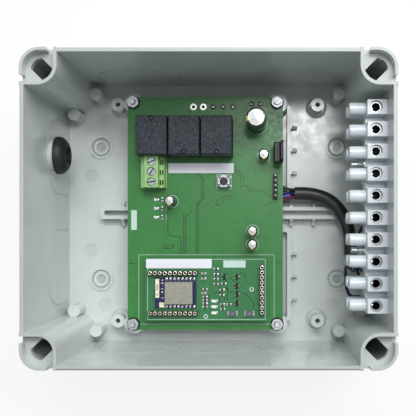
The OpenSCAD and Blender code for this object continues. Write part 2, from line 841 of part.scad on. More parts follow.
// Aluminium can: a rolled groove near the foot and a scored top
module capacitor_cans() {
    color([0.9, 0.9, 0.91]) at_caps() {
        r = $cap_r - sleeve_t - fit;
        difference() {
            rotate_extrude() polygon([
                [0, 0], [r, 0], [r, 1.2], [r - 0.4, 1.6], [r, 2],
                [r, $cap_h - 0.3], [r - 0.3, $cap_h], [0, $cap_h]
            ]);
            for (a = [30, 120]) rotate(a) translate([-r * 0.75, -0.12, $cap_h - 0.2]) cube([r * 1.5, 0.24, 1]);
        }
    }
}

module at_caps() {
    for (c = caps) translate([c[0], c[1], board_top]) {
        $cap_r = c[2];
        $cap_h = c[3];
        children();
    }
}

module capacitor_sleeves() {
    color([0.1, 0.1, 0.12]) at_caps() difference() {
        translate([0, 0, 0.3]) cylinder(r = $cap_r, h = $cap_h - 0.1);
        translate([0, 0, -cut]) cylinder(r = $cap_r - sleeve_t, h = $cap_h + cut);
        translate([0, 0, $cap_h - 1]) cylinder(r = $cap_r * 0.82, h = 2);
    }
}

// Chips: places on the main board from its edges, on the radio board from its middle
board_leds = [for (i = [0 : 2]) [led_x, led_y - i * led_pitch, 0]];
board_resistors = [for (i = [0 : 2]) [led_x + 3, led_y - i * led_pitch, 90]];
radio_leds = [[4, -5.9], [4, -8.8], [4, -11.9]];
radio_resistors = [
    [4.9, 10.3], [4.9, 7.6], [4.9, 5.2], [4.9, 2.6], [8.8, 2.8], [7.9, -0.3], [7.9, -3],
    [-0.7, -0.1], [-0.7, -3.9], [-0.7, -5.7], [-0.7, -7.3], [-0.7, -9],
    [8.1, -7.7], [11.5, -7.7], [8.3, -10]
];
radio_capacitors = [[-1.4, 8], [-1.4, 5.4], [-1.4, -2]];
radio_transistors = [[9.1, 6.5], [15.5, 6.5], [15.5, 1.9], [15.6, -2.2], [15.6, -6.8]];

module on_radio(places) {
    for (p = places) translate([radio_x + p[0], radio_y + p[1], radio_top]) children();
}

// Surface-mount block with a metal cap at each end
module chip(l, w, h) {
    slab(l, w, h * 0.9);
    for (s = [-1, 1]) translate([s * (l / 2 - 0.2), 0, 0]) slab(0.4, w, h);
}

module status_leds() {
    color([0.93, 0.93, 0.9]) {
        for (p = board_leds) translate([p[0], p[1], board_top]) rotate(p[2]) chip(2, 1.25, 0.8);
        on_radio(radio_leds) chip(3, 1.4, 0.8);
    }
}

module chip_resistors() {
    color([0.16, 0.15, 0.16]) {
        for (p = board_resistors) translate([p[0], p[1], board_top]) rotate(p[2]) chip(1.6, 0.8, 0.45);
        on_radio(radio_resistors) chip(1.9, 1, 0.5);
    }
}

module chip_capacitors() {
    color([0.62, 0.52, 0.42]) on_radio(radio_capacitors) chip(2, 1.25, 0.9);
}

// Three-legged package with its legs bent out to the sides
module chip_transistors() {
    color([0.1, 0.1, 0.11]) on_radio(radio_transistors) {
        translate([0, 0, 0.1]) eased_box(1.3, 2.9, 1, 0.15);
        for (p = [[-1, 0.95], [-1, -0.95], [1, 0]]) translate([p[0] * 0.85, p[1], 0]) slab(0.8, 0.4, 0.3);
    }
}

// Radio board

function socket_row(x, y, along_x) = [
    for (i = [0 : socket_pins - 1])
        let (d = (i - (socket_pins - 1) / 2) * pin_pitch)
        [radio_x + x + (along_x ? d : 0), radio_y + y + (along_x ? 0 : d)]
];
row_places = concat(
    socket_row(row_x, row_y + row_gap / 2, true),
    socket_row(row_x, row_y - row_gap / 2, true),
    socket_row(column_x, column_y, false)
);

module radio_board() {
    color([0.27, 0.52, 0.33]) difference() {
        translate([radio_x, radio_y, radio_under]) slab(radio_l, radio_w, board_t);
        at(row_places, radio_under - cut) cylinder(r = contact_pin_r + slip, h = board_t + 2 * cut);
        for (p = test_points) translate([radio_x + p[0], radio_y + p[1], radio_under - cut])
            cylinder(r = 0.55, h = board_t + 2 * cut);
    }
}

module radio_label() {
    color([0.89, 0.89, 0.93]) translate([radio_x - 14, radio_y + 13.1, radio_top])
        linear_extrude(label_t) round_rect(radio_label_size[0], radio_label_size[1], 0.8);
}

// Black socket bodies, waisted between the contacts
module socket_strips() {
    color([0.11, 0.11, 0.12]) difference() {
        union() {
            for (s = [-1, 1]) translate([radio_x + row_x, radio_y + row_y + s * row_gap / 2, radio_top])
                slab(socket_l, socket_w - 0.7, socket_h);
            translate([radio_x + column_x, radio_y + column_y, radio_top]) slab(socket_w - 0.7, socket_l, socket_h);
            at(row_places, radio_top) cylinder(r = socket_w / 2, h = socket_h, $fn = 8);
        }
        at(row_places, radio_top - cut) cylinder(r = contact_r + fit, h = socket_h + 2 * cut);
    }
}

// Turned contacts whose pins stand on the main board and carry the radio board
module socket_contacts() {
    color([0.88, 0.8, 0.6]) at(row_places, 0) rotate_extrude() polygon([
        [0, board_top], [contact_pin_r, board_top], [contact_pin_r, radio_top],
        [contact_r, radio_top], [contact_r, radio_top + socket_h + 0.1],
        [contact_mouth, radio_top + socket_h + 0.1], [contact_bore, radio_top + socket_h - 0.3],
        [contact_bore, radio_top + 0.6], [0, radio_top + 0.6]
    ]);
}

module module_board() {
    color([0.1, 0.18, 0.38]) translate([module_x, module_y, radio_top]) difference() {
        slab(module_l, module_w, module_t);
        for (s = [-1, 1], i = [0 : 7])
            translate([(i - 3.5) * pad_pitch + pad_offset, s * module_w / 2, -cut])
            cylinder(r = 0.4, h = module_t + 2 * cut);
    }
}

module module_shield() {
    color([0.66, 0.66, 0.63]) translate([shield_x, module_y, module_top]) intersection() {
        linear_extrude(shield_h) round_rect(shield_l, shield_w, 0.8);
        eased_box(shield_l, shield_w, shield_h, 0.3);
    }
}

module module_antenna() {
    color([0.92, 0.9, 0.8]) translate([module_x - 9.15, module_y + 2.3, module_top])
        eased_box(antenna_w, antenna_l, antenna_h, 0.2);
}

module antenna_socket() {
    color([0.75, 0.66, 0.42]) translate([module_x - 6.9, module_y - 6.2, module_top]) {
        slab(2.6, 2.6, 0.35);
        difference() {
            cylinder(r = 1, h = 1.2);
            translate([0, 0, 0.5]) cylinder(r = 0.75, h = 1);
        }
        cylinder(r = 0.25, h = 1);
    }
}

module small_switch_bodies() {
    color([0.75, 0.75, 0.73]) at(small_switch, radio_top) {
        difference() {
            slab(small_switch_l - 0.8, small_switch_w, small_switch_h);
            translate([0, 0, small_switch_h - small_travel - 0.6])
                cylinder(r = small_button_r + free + 0.1, h = 1);
        }
        for (s = [-1, 1]) translate([s * (small_switch_l / 2 - 0.1), 0, 0]) slab(0.8, small_switch_w - 0.4, 0.6);
    }
}

module small_button(i) {
    color([0.12, 0.12, 0.13])
        translate([small_switch[i][0], small_switch[i][1], radio_top + small_switch_h - 0.3])
            cylinder(r = small_button_r, h = 0.7);
}

module small_button_1() {
    small_button(0);
}

module small_button_2() {
    small_button(1);
}

// Connector strip

module strip_body() {
    color([0.84, 0.86, 0.88]) difference() {
        union() {
            for (i = [0 : strip_poles - 1]) translate([0, pole_y(i), 0]) {
                translate([strip_front, -pole_w / 2, strip_mid - strip_h / 2]) cube([pole_d, pole_w, strip_h]);
                for (s = [-1, 1]) translate([strip_front - chimney_l, 0, strip_mid + s * screw_gap / 2])
                    rotate([0, 90, 0]) rotate_extrude() polygon([
                        [0, 0], [chimney_r - 0.5, 0], [chimney_r - 0.15, 0.3], [chimney_r - 0.1, 1],
                        [chimney_r, 1.2], [chimney_r, chimney_l + 1], [0, chimney_l + 1]
                    ]);
            }
            translate([strip_front, pole_y(strip_poles - 1), strip_mid - web_h / 2])
                cube([pole_d, (strip_poles - 1) * strip_pitch, web_h]);
        }
        for (i = [0 : strip_poles - 1]) translate([0, pole_y(i), 0]) {
            translate([tube_x, 0, strip_mid - strip_h / 2 - cut]) cylinder(r = tube_r + slip, h = strip_h + 2 * cut);
            for (s = [-1, 1]) translate([tube_x, 0, strip_mid + s * (strip_h / 2 - funnel_deep)])
                rotate([90 - s * 90, 0, 0]) cylinder(r1 = tube_r + slip, r2 = funnel_r, h = funnel_deep + 0.01);
            for (s = [-1, 1]) translate([strip_front - chimney_l - cut, 0, strip_mid + s * screw_gap / 2])
                rotate([0, 90, 0]) cylinder(r = chimney_bore, h = tube_x - strip_front + chimney_l);
        }
        for (i = bolt_poles) translate([strip_front - cut, pole_y(i), strip_mid]) rotate([0, 90, 0])
            cylinder(r = hole_r, h = pole_d + 2 * cut);
    }
}

module strip_tubes() {
    color([0.78, 0.74, 0.62]) for (i = [0 : strip_poles - 1]) translate([tube_x, pole_y(i), 0]) difference() {
        translate([0, 0, strip_mid - strip_h / 2 + tube_in]) cylinder(r = tube_r, h = strip_h - 2 * tube_in);
        translate([0, 0, strip_mid - strip_h / 2]) cylinder(r = tube_bore, h = strip_h);
        for (s = [-1, 1]) translate([-tube_r - 1, 0, strip_mid + s * screw_gap / 2]) rotate([0, 90, 0])
            cylinder(r = screw_r + fit, h = tube_r + 1);
    }
}

// Slotted screw lying along X, its head towards the middle of the box
module strip_screw(i, s, deep) {
    translate([strip_front - chimney_l + 1 + deep, pole_y(i), strip_mid + s * screw_gap / 2])
        rotate([0, 90, 0]) difference() {
            union() {
                cylinder(r = strip_head_r, h = strip_head_l);
                cylinder(r = screw_r, h = strip_screw_l - 0.4);
                cylinder(r = screw_r - 0.4, h = strip_screw_l);
            }
            rotate(20 + 37 * i) translate([-3, -0.3, -cut]) cube([6, 0.6, 1 + cut]);
        }
}

// The lower screws of the wired poles are driven home on their cores
module strip_screws_lower() {
    home = core_end_x - core_r - free - (tube_x - tube_bore + screw_tip);
    color([0.8, 0.81, 0.82]) for (i = [0 : strip_poles - 1])
        strip_screw(i, -1, len(search(i, core_poles)) > 0 ? home : 0);
}

module upper_screw(i) {
    color([0.8, 0.81, 0.82]) strip_screw(i, 1, 0);
}

module strip_screw_1() {
    upper_screw(0);
}

module strip_screw_2() {
    upper_screw(1);
}

module strip_screw_3() {
    upper_screw(2);
}

module strip_screw_4() {
    upper_screw(3);
}

module strip_screw_5() {
    upper_screw(4);
}

module strip_screw_6() {
    upper_screw(5);
}

module strip_screw_7() {
    upper_screw(6);
}

module strip_screw_8() {
    upper_screw(7);
}

module strip_screw_9() {
    upper_screw(8);
}

module strip_screw_10() {
    upper_screw(9);
}

// Bolts through the wall, their heads outside and their tips inside
module strip_bolts() {
    color([0.8, 0.81, 0.82]) for (i = bolt_poles) translate([box_l / 2, pole_y(i), strip_mid]) {
        rotate([0, -90, 0]) cylinder(r = screw_r, h = bolt_l);
        rotate([0, 90, 0]) difference() {
            cylinder(r = head_r, h = head_h);
            for (a = [0, 90]) rotate(a) translate([-1.5, -0.3, head_h - 1.1]) cube([3, 0.6, 1.2]);
        }
    }
}

module strip_nuts() {
    color([0.8, 0.81, 0.82]) for (i = bolt_poles) translate([strip_front, pole_y(i), strip_mid]) rotate([0, -90, 0]) {
        difference() {
            cylinder(r = washer_r - 0.2, h = washer_t);
            translate([0, 0, -cut]) cylinder(r = hole_r, h = washer_t + 2 * cut);
        }
        translate([0, 0, washer_t]) rotate(i * 20) nut();
    }
}

// Cable from under the board to the lower entries of the strip. Its points are given as a share
// of the way from the board to the strip, and along Y as a number of the strip's poles.

sheath_from = right + 6.2;
sheath_to = tube_x - 5.7;
cable_z = floor_t + rail_h + sheath_r + 0.5;
strip_low = strip_mid - strip_h / 2;
sheath_points = [
    [0, 3.65], [0.2, 3.65], [0.41, 3.75], [0.62, 4], [0.79, 4.45], [0.91, 5.05], [0.98, 5.7], [1, 6.35], [1, 6.85]
];
sheath_route = [
    for (p = sheath_points) [sheath_from + p[0] * (sheath_to - sheath_from), pole_y(p[1]), cable_z]
];
// Offsets of the five cores inside the sheath, across its run
core_ring = [[-2, 0.9], [2, 0.9], [1.2, -1.4], [-1.2, -1.4], [0, 1.9]];
// Offsets of the cores side by side on their way under the board
board_lanes = [4, -4, -2, 2, 0];
board_joint_x = right - 1.8;
lane_from = 4;     // from the sheath's end to where the cores lie in their lanes
entry_short = 3;   // from a core's end up to the screw that holds it
// Pole that each core runs to, and its points from the sheath's end: distance from the tubes' axis,
// number of poles, and share of the way up to the strip
core_poles = [9, 8, 7, 6, 5];
core_points = [
    [[-8.2, 7.45, 0.1], [-8.7, 8.05, 0.22], [-8.7, 8.55, 0.39], [-7.2, 8.85, 0.55], [-3.7, 8.85, 0.71]],
    [[-3.2, 7.35, 0.1], [-2.7, 7.75, 0.285], [-1.2, 7.95, 0.55]],
    [[-2.7, 7.35, -0.04], [-0.2, 7.65, 0.1], [1.8, 7.55, 0.345], [1.8, 7.25, 0.59]],
    [[-6.7, 7.35, -0.02], [-5.2, 7.65, 0.18], [-4.2, 7.4, 0.425], [-3.2, 6.75, 0.63], [-1.2, 6.15, 0.75]],
    [[-5.7, 7.2, 0.14], [-6.2, 7.45, 0.265], [-7.2, 7.15, 0.445], [-5.7, 6.45, 0.57], [-2.7, 5.55, 0.67]]
];
core_end_x = tube_x + tube_bore - core_r - free;

module cable_sheath() {
    color([0.14, 0.14, 0.15]) cord(sheath_route, sheath_r, 12);
}

// Cores between the sheath's end and their joints under the board
module board_wires() {
    start = sheath_route[0];
    color([0.12, 0.14, 0.3]) for (i = [0 : 4]) {
        c = core_ring[i];
        lane = board_lanes[i];
        cord([
            start + [0, -c[0], c[1]], start + [-1.5, -c[0], c[1]],
            [start[0] - lane_from, start[1] + lane, start[2] - 0.5],
            [board_joint_x + 1.5, start[1] + 1.25 * lane, start[2] - 0.5],
            [board_joint_x, start[1] + 1.25 * lane, board_under - core_r]
        ], core_r, 8);
    }
}

module strip_wires() {
    start = sheath_route[len(sheath_route) - 1];
    color([0.12, 0.14, 0.3]) for (i = [0 : 4]) {
        c = core_ring[i];
        y = pole_y(core_poles[i]);
        cord(concat(
            [start + [c[0], 0, c[1]], start + [c[0], -1.5, c[1]]],
            [for (p = core_points[i]) [tube_x + p[0], pole_y(p[1]), cable_z + p[2] * (strip_low - cable_z)]],
            [[core_end_x, y, strip_low - 1], [core_end_x, y, strip_mid - screw_gap / 2 + entry_short]]
        ), core_r, 8);
    }
}

enclosure_base();
cable_grommet();
main_board();
board_screws();
board_washers();
board_nuts();
relay_1();
relay_2();
relay_3();
relay_pins();
terminal_block();
block_screw_1();
block_screw_2();
block_screw_3();
block_clamp_1();
block_clamp_2();
block_clamp_3();
board_label();
radio_label();
switch_body();
switch_cover();
switch_button();
header_body();
header_pins();
regulator_body();
regulator_tab();
capacitor_cans();
capacitor_sleeves();
status_leds();
chip_resistors();
chip_capacitors();
chip_transistors();
radio_board();
socket_strips();
socket_contacts();
module_board();
module_shield();
module_antenna();
antenna_socket();
small_switch_bodies();
small_button_1();
small_button_2();
strip_body();
strip_tubes();
strip_screws_lower();
strip_screw_1();
strip_screw_2();
strip_screw_3();
strip_screw_4();
strip_screw_5();
strip_screw_6();
strip_screw_7();
strip_screw_8();
strip_screw_9();
strip_screw_10();
strip_bolts();
strip_nuts();
cable_sheath();
board_wires();
strip_wires();
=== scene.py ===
import math

import bmesh
import bpy
from bpy.props import FloatProperty, FloatVectorProperty, IntProperty, PointerProperty
from mathutils import Matrix, Vector


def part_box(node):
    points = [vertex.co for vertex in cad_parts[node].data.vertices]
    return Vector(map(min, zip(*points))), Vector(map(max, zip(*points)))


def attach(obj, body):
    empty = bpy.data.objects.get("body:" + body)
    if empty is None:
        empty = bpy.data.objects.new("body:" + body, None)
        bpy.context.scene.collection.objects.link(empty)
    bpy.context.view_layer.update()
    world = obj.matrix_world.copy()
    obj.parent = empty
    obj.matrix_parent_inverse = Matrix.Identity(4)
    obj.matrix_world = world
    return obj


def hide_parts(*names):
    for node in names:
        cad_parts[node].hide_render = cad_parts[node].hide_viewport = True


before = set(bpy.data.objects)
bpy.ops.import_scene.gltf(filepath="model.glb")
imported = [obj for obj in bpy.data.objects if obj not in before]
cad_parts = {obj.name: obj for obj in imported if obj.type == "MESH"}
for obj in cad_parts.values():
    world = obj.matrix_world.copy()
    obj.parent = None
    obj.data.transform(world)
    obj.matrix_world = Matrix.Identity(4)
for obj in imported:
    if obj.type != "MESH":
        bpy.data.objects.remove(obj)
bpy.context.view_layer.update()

bl_info = {
    "name": "Earthquake Alert Receiver",
    "version": (1, 0, 0),
    "blender": (4, 5, 0),
    "location": "View3D > Sidebar > Receiver",
    "description": "Dresses the open wall box of an earthquake alert receiver",
    "category": "Object",
}

MM = 0.001
ROOT = "receiver"
UP = Vector((0, 0, 1))
# Thickness of ink and of other thin layers on a face, in millimetres
FILM = 0.03
# Lengths and widths of the lamps, in metres
LAMP_SIZES = {"key": (0.85, 0.2), "side": (0.5, 0.3), "glint": (0.15, 0.09)}
# Height above which the box's upward faces get painted shade
PAINTED_RIM_SHADE_LEVEL = 50 * MM
# Distance below which vertices are merged, in metres
MERGE = 1e-7


def rgb(red, green, blue):
    """A screen colour of 0 to 255 as the linear colour that a shader takes."""
    return tuple(((c / 255 + 0.055) / 1.055) ** 2.4 if c > 10 else c / 3300 for c in (red, green, blue))


def mm(*numbers):
    """A vector given in millimetres."""
    return Vector(numbers) * MM


def at(x, y, level):
    """A point at x and y in millimetres, on a level in metres."""
    return Vector((x * MM, y * MM, level))


def centre(node):
    """Middle of a CAD node's box."""
    low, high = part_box(node)
    return (low + high) / 2


def top_of(node):
    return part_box(node)[1].z


# Settings


def shade(label, text, colour):
    return FloatVectorProperty(
        name=label, description=text, subtype="COLOR", size=3, min=0, max=1, default=rgb(*colour))


def length(label, text, value):
    return FloatProperty(name=label, description=text, subtype="DISTANCE", unit="LENGTH", default=value * MM)


def place(label, text, spot):
    return FloatVectorProperty(
        name=label, description=text, subtype="XYZ", unit="LENGTH", size=3, default=spot)


def power(label, text, value):
    return FloatProperty(name=label, description=text, unit="POWER", default=value)


class ReceiverColours(bpy.types.PropertyGroup):
    box: shade("Box", "Moulded grey of the wall box", (203, 210, 208))
    rubber: shade("Rubber", "Grommet and the cable's sheath", (34, 35, 38))
    board: shade("Main board", "Solder mask of the main board", (56, 124, 63))
    radio_board: shade("Radio board", "Solder mask of the raised board", (52, 116, 70))
    trace: shade("Trace", "Edges of the copper under the mask", (14, 44, 24))
    print_ink: shade("Print", "Ink of the lines on the boards", (196, 218, 212))
    relay: shade("Relay", "Speckled relay cover", (44, 50, 57))
    terminal: shade("Terminal block", "Pale green moulding", (146, 190, 122))
    label: shade("Label", "White film of the two labels", (228, 229, 238))
    black: shade("Black plastic", "Sockets, header and packages", (30, 31, 33))
    sleeve: shade("Sleeve", "Film round the capacitors", (26, 30, 30))
    stripe: shade("Stripe", "Minus stripe of the capacitors", (206, 190, 84))
    steel: shade("Steel", "Zinc-plated screws and nuts", (158, 161, 165))
    tin: shade("Tin", "Solder and tinned legs", (166, 168, 170))
    gold: shade("Gold", "Plated contacts", (240, 234, 216))
    aluminium: shade("Aluminium", "Tops of the capacitor cans", (186, 188, 188))
    shield: shade("Shield", "Radio module's sheet metal cover", (142, 142, 133))
    module: shade("Module board", "Solder mask of the radio module", (20, 34, 78))
    ceramic: shade("Ceramic", "Chip antenna", (232, 228, 204))
    strip: shade("Strip", "Milky moulding of the connector strip", (216, 224, 230))


class ReceiverSizes(bpy.types.PropertyGroup):
    ease: length("Moulded edge", "Rounding of the box's edges", 0.25)
    print_width: length("Printed line", "Width of a printed line", 0.2)
    trace_width: length("Trace", "Width of a trace's dark edge", 0.4)
    thread: length("Thread pitch", "Pitch of the M3 threads", 0.5)
    dent: length("Dent", "Depth of the hammered look of a solder joint", 0.05)
    sides: IntProperty(name="Sides", description="Sides of a small turned piece", default=28, min=8, max=96)


class ReceiverStage(bpy.types.PropertyGroup):
    camera: place("Camera", "Where the camera stands, straight above the box", (0.0233, -0.0101, 0.3629))
    lens: FloatProperty(name="Lens", description="Focal length in millimetres", default=58.3)
    shift_x: FloatProperty(name="Shift across", description="Sideways shift of the frame", default=-0.131)
    shift_y: FloatProperty(name="Shift up", description="Upward shift of the frame", default=0.058)
    key: place("Key lamp", "Main lamp, above the top wall", (0.16, 0.43, 0.86))
    key_power: power("Key power", "Power of the main lamp", 6.7)
    side: place("Side lamp", "Low lamp at the upper right, which lights the walls across from it", (0.55, 0.75, 0.55))
    side_power: power("Side power", "Power of the low lamp", 3.4)
    glint: place("Glint lamp", "Small lamp that shines back from the floor and the cans", (0.1, 0.194, 0.9))
    glint_power: power("Glint power", "Power of the small lamp", 1.3)
    sky: FloatProperty(name="Sky", description="Strength of the even light from all round", default=0.24)
    floor: length("Floor", "Width of the pale floor", 3000)


def colours():
    return bpy.context.scene.receiver_colours


def sizes():
    return bpy.context.scene.receiver_sizes


# Finishes


class Finish:
    """A material in the making: a Principled shader with patterns on Object coordinates. Sizes in millimetres."""

    def __init__(self, name, colour, rough, metal=0.0):
        self.material = bpy.data.materials.new(name)
        self.material.use_nodes = True
        tree = self.material.node_tree
        self.nodes, self.links = tree.nodes, tree.links
        self.shader = self.nodes["Principled BSDF"]
        self.colour = (*colour, 1)
        self.set(Base_Color=self.colour, Metallic=metal, Roughness=rough)
        self.where = self.nodes.new("ShaderNodeTexCoord").outputs["Object"]

    def set(self, **values):
        """Sets sockets of the shader. A socket's name is written with _ for a space."""
        for name, value in values.items():
            self.shader.inputs[name.replace("_", " ")].default_value = value
        return self

    def noise(self, size, detail, stretch=(1, 1, 1)):
        """Noise whose lumps are about as wide as size."""
        mapping = self.nodes.new("ShaderNodeMapping")
        mapping.inputs["Scale"].default_value = stretch
        self.links.new(self.where, mapping.inputs["Vector"])
        texture = self.nodes.new("ShaderNodeTexNoise")
        texture.inputs["Scale"].default_value = 1 / (size * MM)
        texture.inputs["Detail"].default_value = detail
        self.links.new(mapping.outputs["Vector"], texture.inputs["Vector"])
        return texture.outputs["Fac"]

    def spread(self, value, low, high, to_low, to_high):
        """Spreads value's range from low to high over another range."""
        ranges = self.nodes.new("ShaderNodeMapRange")
        for name, number in zip(("From Min", "From Max", "To Min", "To Max"), (low, high, to_low, to_high)):
            ranges.inputs[name].default_value = number
        self.links.new(value, ranges.inputs["Value"])
        return ranges.outputs["Result"]

    def patches(self, other, size, detail, low, high, share, stretch=(1, 1, 1)):
        """Mixes another colour in, over what is there, up to share where the noise rises from low to high."""
        value = self.spread(self.noise(size, detail, stretch), low, high, 0, share)
        mix = self.nodes.new("ShaderNodeMix")
        mix.data_type = "RGBA"
        base = self.shader.inputs["Base Color"]
        if base.is_linked:
            self.links.new(base.links[0].from_socket, mix.inputs["A"])
        else:
            mix.inputs["A"].default_value = self.colour
        mix.inputs["B"].default_value = (*other, 1)
        self.links.new(value, mix.inputs["Factor"])
        self.links.new(mix.outputs["Result"], base)
        return self

    def rough(self, size, detail, low, high):
        """Lets the roughness follow noise, from low to high."""
        value = self.spread(self.noise(size, detail), 0.3, 0.7, low, high)
        self.links.new(value, self.shader.inputs["Roughness"])
        return self

    def bump(self, size, detail, depth, strength, stretch=(1, 1, 1)):
        """Raises the surface by noise, on top of the bumps that are there."""
        bump = self.nodes.new("ShaderNodeBump")
        bump.inputs["Distance"].default_value = depth * MM
        bump.inputs["Strength"].default_value = strength
        self.links.new(self.noise(size, detail, stretch), bump.inputs["Height"])
        normal = self.shader.inputs["Normal"]
        if normal.is_linked:
            self.links.new(normal.links[0].from_socket, bump.inputs["Normal"])
        self.links.new(bump.outputs["Normal"], normal)
        return self


def darker(colour, share):
    return tuple(c * share for c in colour)


def paler(colour, share):
    return tuple(min(1, c * share) for c in colour)


def moulded(name, colour, rough, grain=0.3, mottle=0.06, gloss=0.5):
    """Moulded plastic: fine grain, slow unevenness of colour and gloss."""
    f = Finish(name, colour, rough).set(Specular_IOR_Level=gloss)
    f.patches(darker(colour, 1 - mottle), 14, 4, 0.35, 0.7, 1)
    f.rough(5, 3, rough - 0.05, rough + 0.06)
    return f.bump(grain, 3, 0.012, 0.5).bump(22, 2, 0.25, 0.3)


def metal(name, colour, rough, brush=(1, 1, 1), tarnish=0.75):
    """Bare or plated metal: fine scratches along one way and dull patches."""
    f = Finish(name, colour, rough, 1.0)
    f.patches(darker(colour, tarnish), 1.1, 4, 0.4, 0.7, 0.9)
    return f.rough(0.5, 3, rough - 0.06, rough + 0.1).bump(0.25, 3, 0.003, 0.6, brush)


def mask(name, colour, weave=0.5):
    """Solder mask on a board: glass weave, slow drift of green and specks of flux."""
    f = Finish(name, colour, 0.3).set(Specular_IOR_Level=0.35)
    f.patches(darker(colour, 0.8), 9, 4, 0.35, 0.7, 0.5)
    f.patches(paler(colour, 1.5), 1.3, 3, 0.55, 0.72, 0.3)
    f.patches(darker(colour, 0.72), 1.9, 3, 0.58, 0.7, 0.35)
    f.rough(2.2, 3, 0.24, 0.4)
    return f.bump(weave, 2, 0.02, 0.5, (1, 0.35, 1)).bump(weave, 2, 0.02, 0.5, (0.35, 1, 1))


def box_finish():
    """The box's plastic, with thin flow lines left by the mould."""
    f = moulded("box_plastic", colours().box, 0.2, 0.35, 0.05)
    return f.patches(darker(colours().box, 0.7), 1.6, 5, 0.66, 0.74, 0.12, (1, 0.12, 0.2))


def darker_box(name, share, *grades):
    """The box's plastic darkened: painted shade in its sunken rings and on its rim and shelves, and its ejector
    marks.
    """
    return moulded(name, darker(colours().box, share), *grades)


def relay_finish():
    """Dark plastic with pale and black speckles and a pebbled face."""
    c = colours().relay
    f = moulded("relay_plastic", c, 0.55, 0.25, 0.1, 0.22).patches(paler(c, 2.8), 0.8, 6, 0.54, 0.62, 0.75)
    return f.patches(darker(c, 0.35), 1.1, 6, 0.53, 0.62, 0.8, (1, 1, 1.3)).bump(0.5, 4, 0.1, 0.8)


def strip_finish():
    """Milky plastic that light enters."""
    f = moulded("strip_moulding", colours().strip, 0.17, 0.5, 0.05)
    return f.set(Subsurface_Weight=0.35, Subsurface_Radius=mm(4, 4, 4), Subsurface_Scale=0.4)


def label_finish():
    f = Finish("label_film", colours().label, 0.36)
    return f.patches(darker(colours().label, 0.9), 0.7, 3, 0.5, 0.8, 0.2).bump(2.5, 3, 0.04, 0.6)


def rubber_finish():
    """Dull rubber with pale specks of dust."""
    f = moulded("rubber", colours().rubber, 0.5, 0.6, 0.2, 0.3)
    return f.patches(rgb(92, 94, 96), 0.4, 2, 0.68, 0.76, 0.5)


# Finishes with a pattern or a colour of their own
PATTERNED = {
    "box": box_finish,
    # Painted shade in the floor's sunken rings, and on the rim and shelves
    "box_recess_painted_shade": lambda: darker_box("box_sunk_plastic", 0.72, 0.3, 0.35, 0.08),
    "box_rim": lambda: darker_box("box_rim_plastic", 0.8, 0.34, 0.35, 0.05, 0.3),
    "box_mark": lambda: darker_box("ejector_mark", 0.92, 0.22, 0.35, 0.05),
    "relay": relay_finish,
    "label": label_finish,
    "strip": strip_finish,
    "rubber": rubber_finish,
    "sheath": lambda: moulded("sheath", colours().rubber, 0.36, 1.2, 0.2, 0.35).bump(0.5, 2, 0.03, 0.5),
    "solder": lambda: metal("solder", colours().tin, 0.22).bump(0.5, 2, sizes().dent / MM, 0.7),
    "ink": lambda: Finish("printed_ink", colours().print_ink, 0.5).patches(
        colours().board, 0.35, 3, 0.5, 0.75, 0.35),
    "trace": lambda: Finish("trace_edge", colours().trace, 0.32).patches(
        darker(colours().board, 0.7), 0.6, 2, 0.4, 0.7, 0.2),
    "led": lambda: Finish("led_lens", rgb(232, 238, 240), 0.3).patches(
        rgb(204, 216, 206), 0.5, 1, 0.45, 0.6, 0.5),
}

CORE_COLOURS = {
    "core_blue": (34, 40, 84), "core_green": (24, 54, 40), "core_red": (92, 22, 34),
    "core_violet": (96, 86, 176), "core_black": (26, 28, 34),
}

# The other finishes: what makes them, the material's name, the colour, and the maker's other values.
# A colour is the name of a setting, or a screen colour.
GRADED = {
    "board": (mask, "main_board_mask", "board"),
    "radio_board": (mask, "radio_board_mask", "radio_board"),
    "module": (mask, "module_mask", "module", 0.3),
    "laminate": (moulded, "board_edge", (126, 140, 84), 0.6, 0.2, 0.3),
    # A painted glint in the relays' vents
    "painted_vent_glint": (moulded, "relay_dot", (150, 156, 160), 0.4),
    "terminal": (moulded, "terminal_plastic", "terminal", 0.42, 0.3, 0.08),
    "black": (moulded, "black_plastic", "black", 0.35, 0.3, 0.2, 0.3),
    # Painted shade inside holes, bores, the relays' vents and the cable's cut end
    "painted_hole_shade": (moulded, "dark_inside", (16, 20, 34), 0.5, 0.4, 0.3, 0.15),
    "sleeve": (moulded, "capacitor_film", "sleeve", 0.22, 0.8, 0.2),
    "stripe": (moulded, "capacitor_stripe", "stripe", 0.3, 0.8, 0.1),
    "chip": (moulded, "chip_ceramic", (44, 40, 42), 0.35, 0.2, 0.2),
    "tan_chip": (moulded, "chip_tan", (160, 122, 84), 0.4, 0.2, 0.1),
    "grey_chip": (moulded, "chip_grey", (120, 122, 116), 0.4, 0.2, 0.1),
    "ceramic": (moulded, "antenna_ceramic", "ceramic", 0.3, 0.2, 0.05),
    "brown": (moulded, "antenna_stripe", (136, 62, 44), 0.4, 0.2, 0.1),
    "grey_button": (moulded, "grey_button", (112, 124, 138), 0.4, 0.2, 0.1),
    **{name: (moulded, name, colour, 0.35, 0.3, 0.1, 0.35) for name, colour in CORE_COLOURS.items()},
    "steel": (metal, "zinc_plate", "steel", 0.26),
    "bright_zinc": (metal, "bright_zinc", (206, 209, 204), 0.2),
    "worn_zinc": (metal, "worn_zinc", (184, 187, 190), 0.42),
    # Dark steel of the small switches' plates, and painted shade on the nuts
    "dull_steel": (metal, "dull_steel", (104, 107, 112), 0.4),
    "slot": (metal, "slot_shadow", (52, 54, 58), 0.5),
    "tin": (metal, "tinned_metal", "tin", 0.3),
    "gold": (metal, "gold_plate", "gold", 0.25),
    "can": (metal, "can_aluminium", "aluminium", 0.24, (1, 1, 1), 0.9),
    "shield": (metal, "shield_metal", "shield", 0.42, (1, 0.1, 1), 0.8),
}

_finishes = {}


def finish(name):
    """The material of that name, made the first time that it is asked for."""
    if name not in _finishes:
        if name in PATTERNED:
            made = PATTERNED[name]()
        else:
            make, label, colour, *grades = GRADED[name]
            made = make(label, getattr(colours(), colour) if isinstance(colour, str) else rgb(*colour), *grades)
        _finishes[name] = made.material
    return _finishes[name]


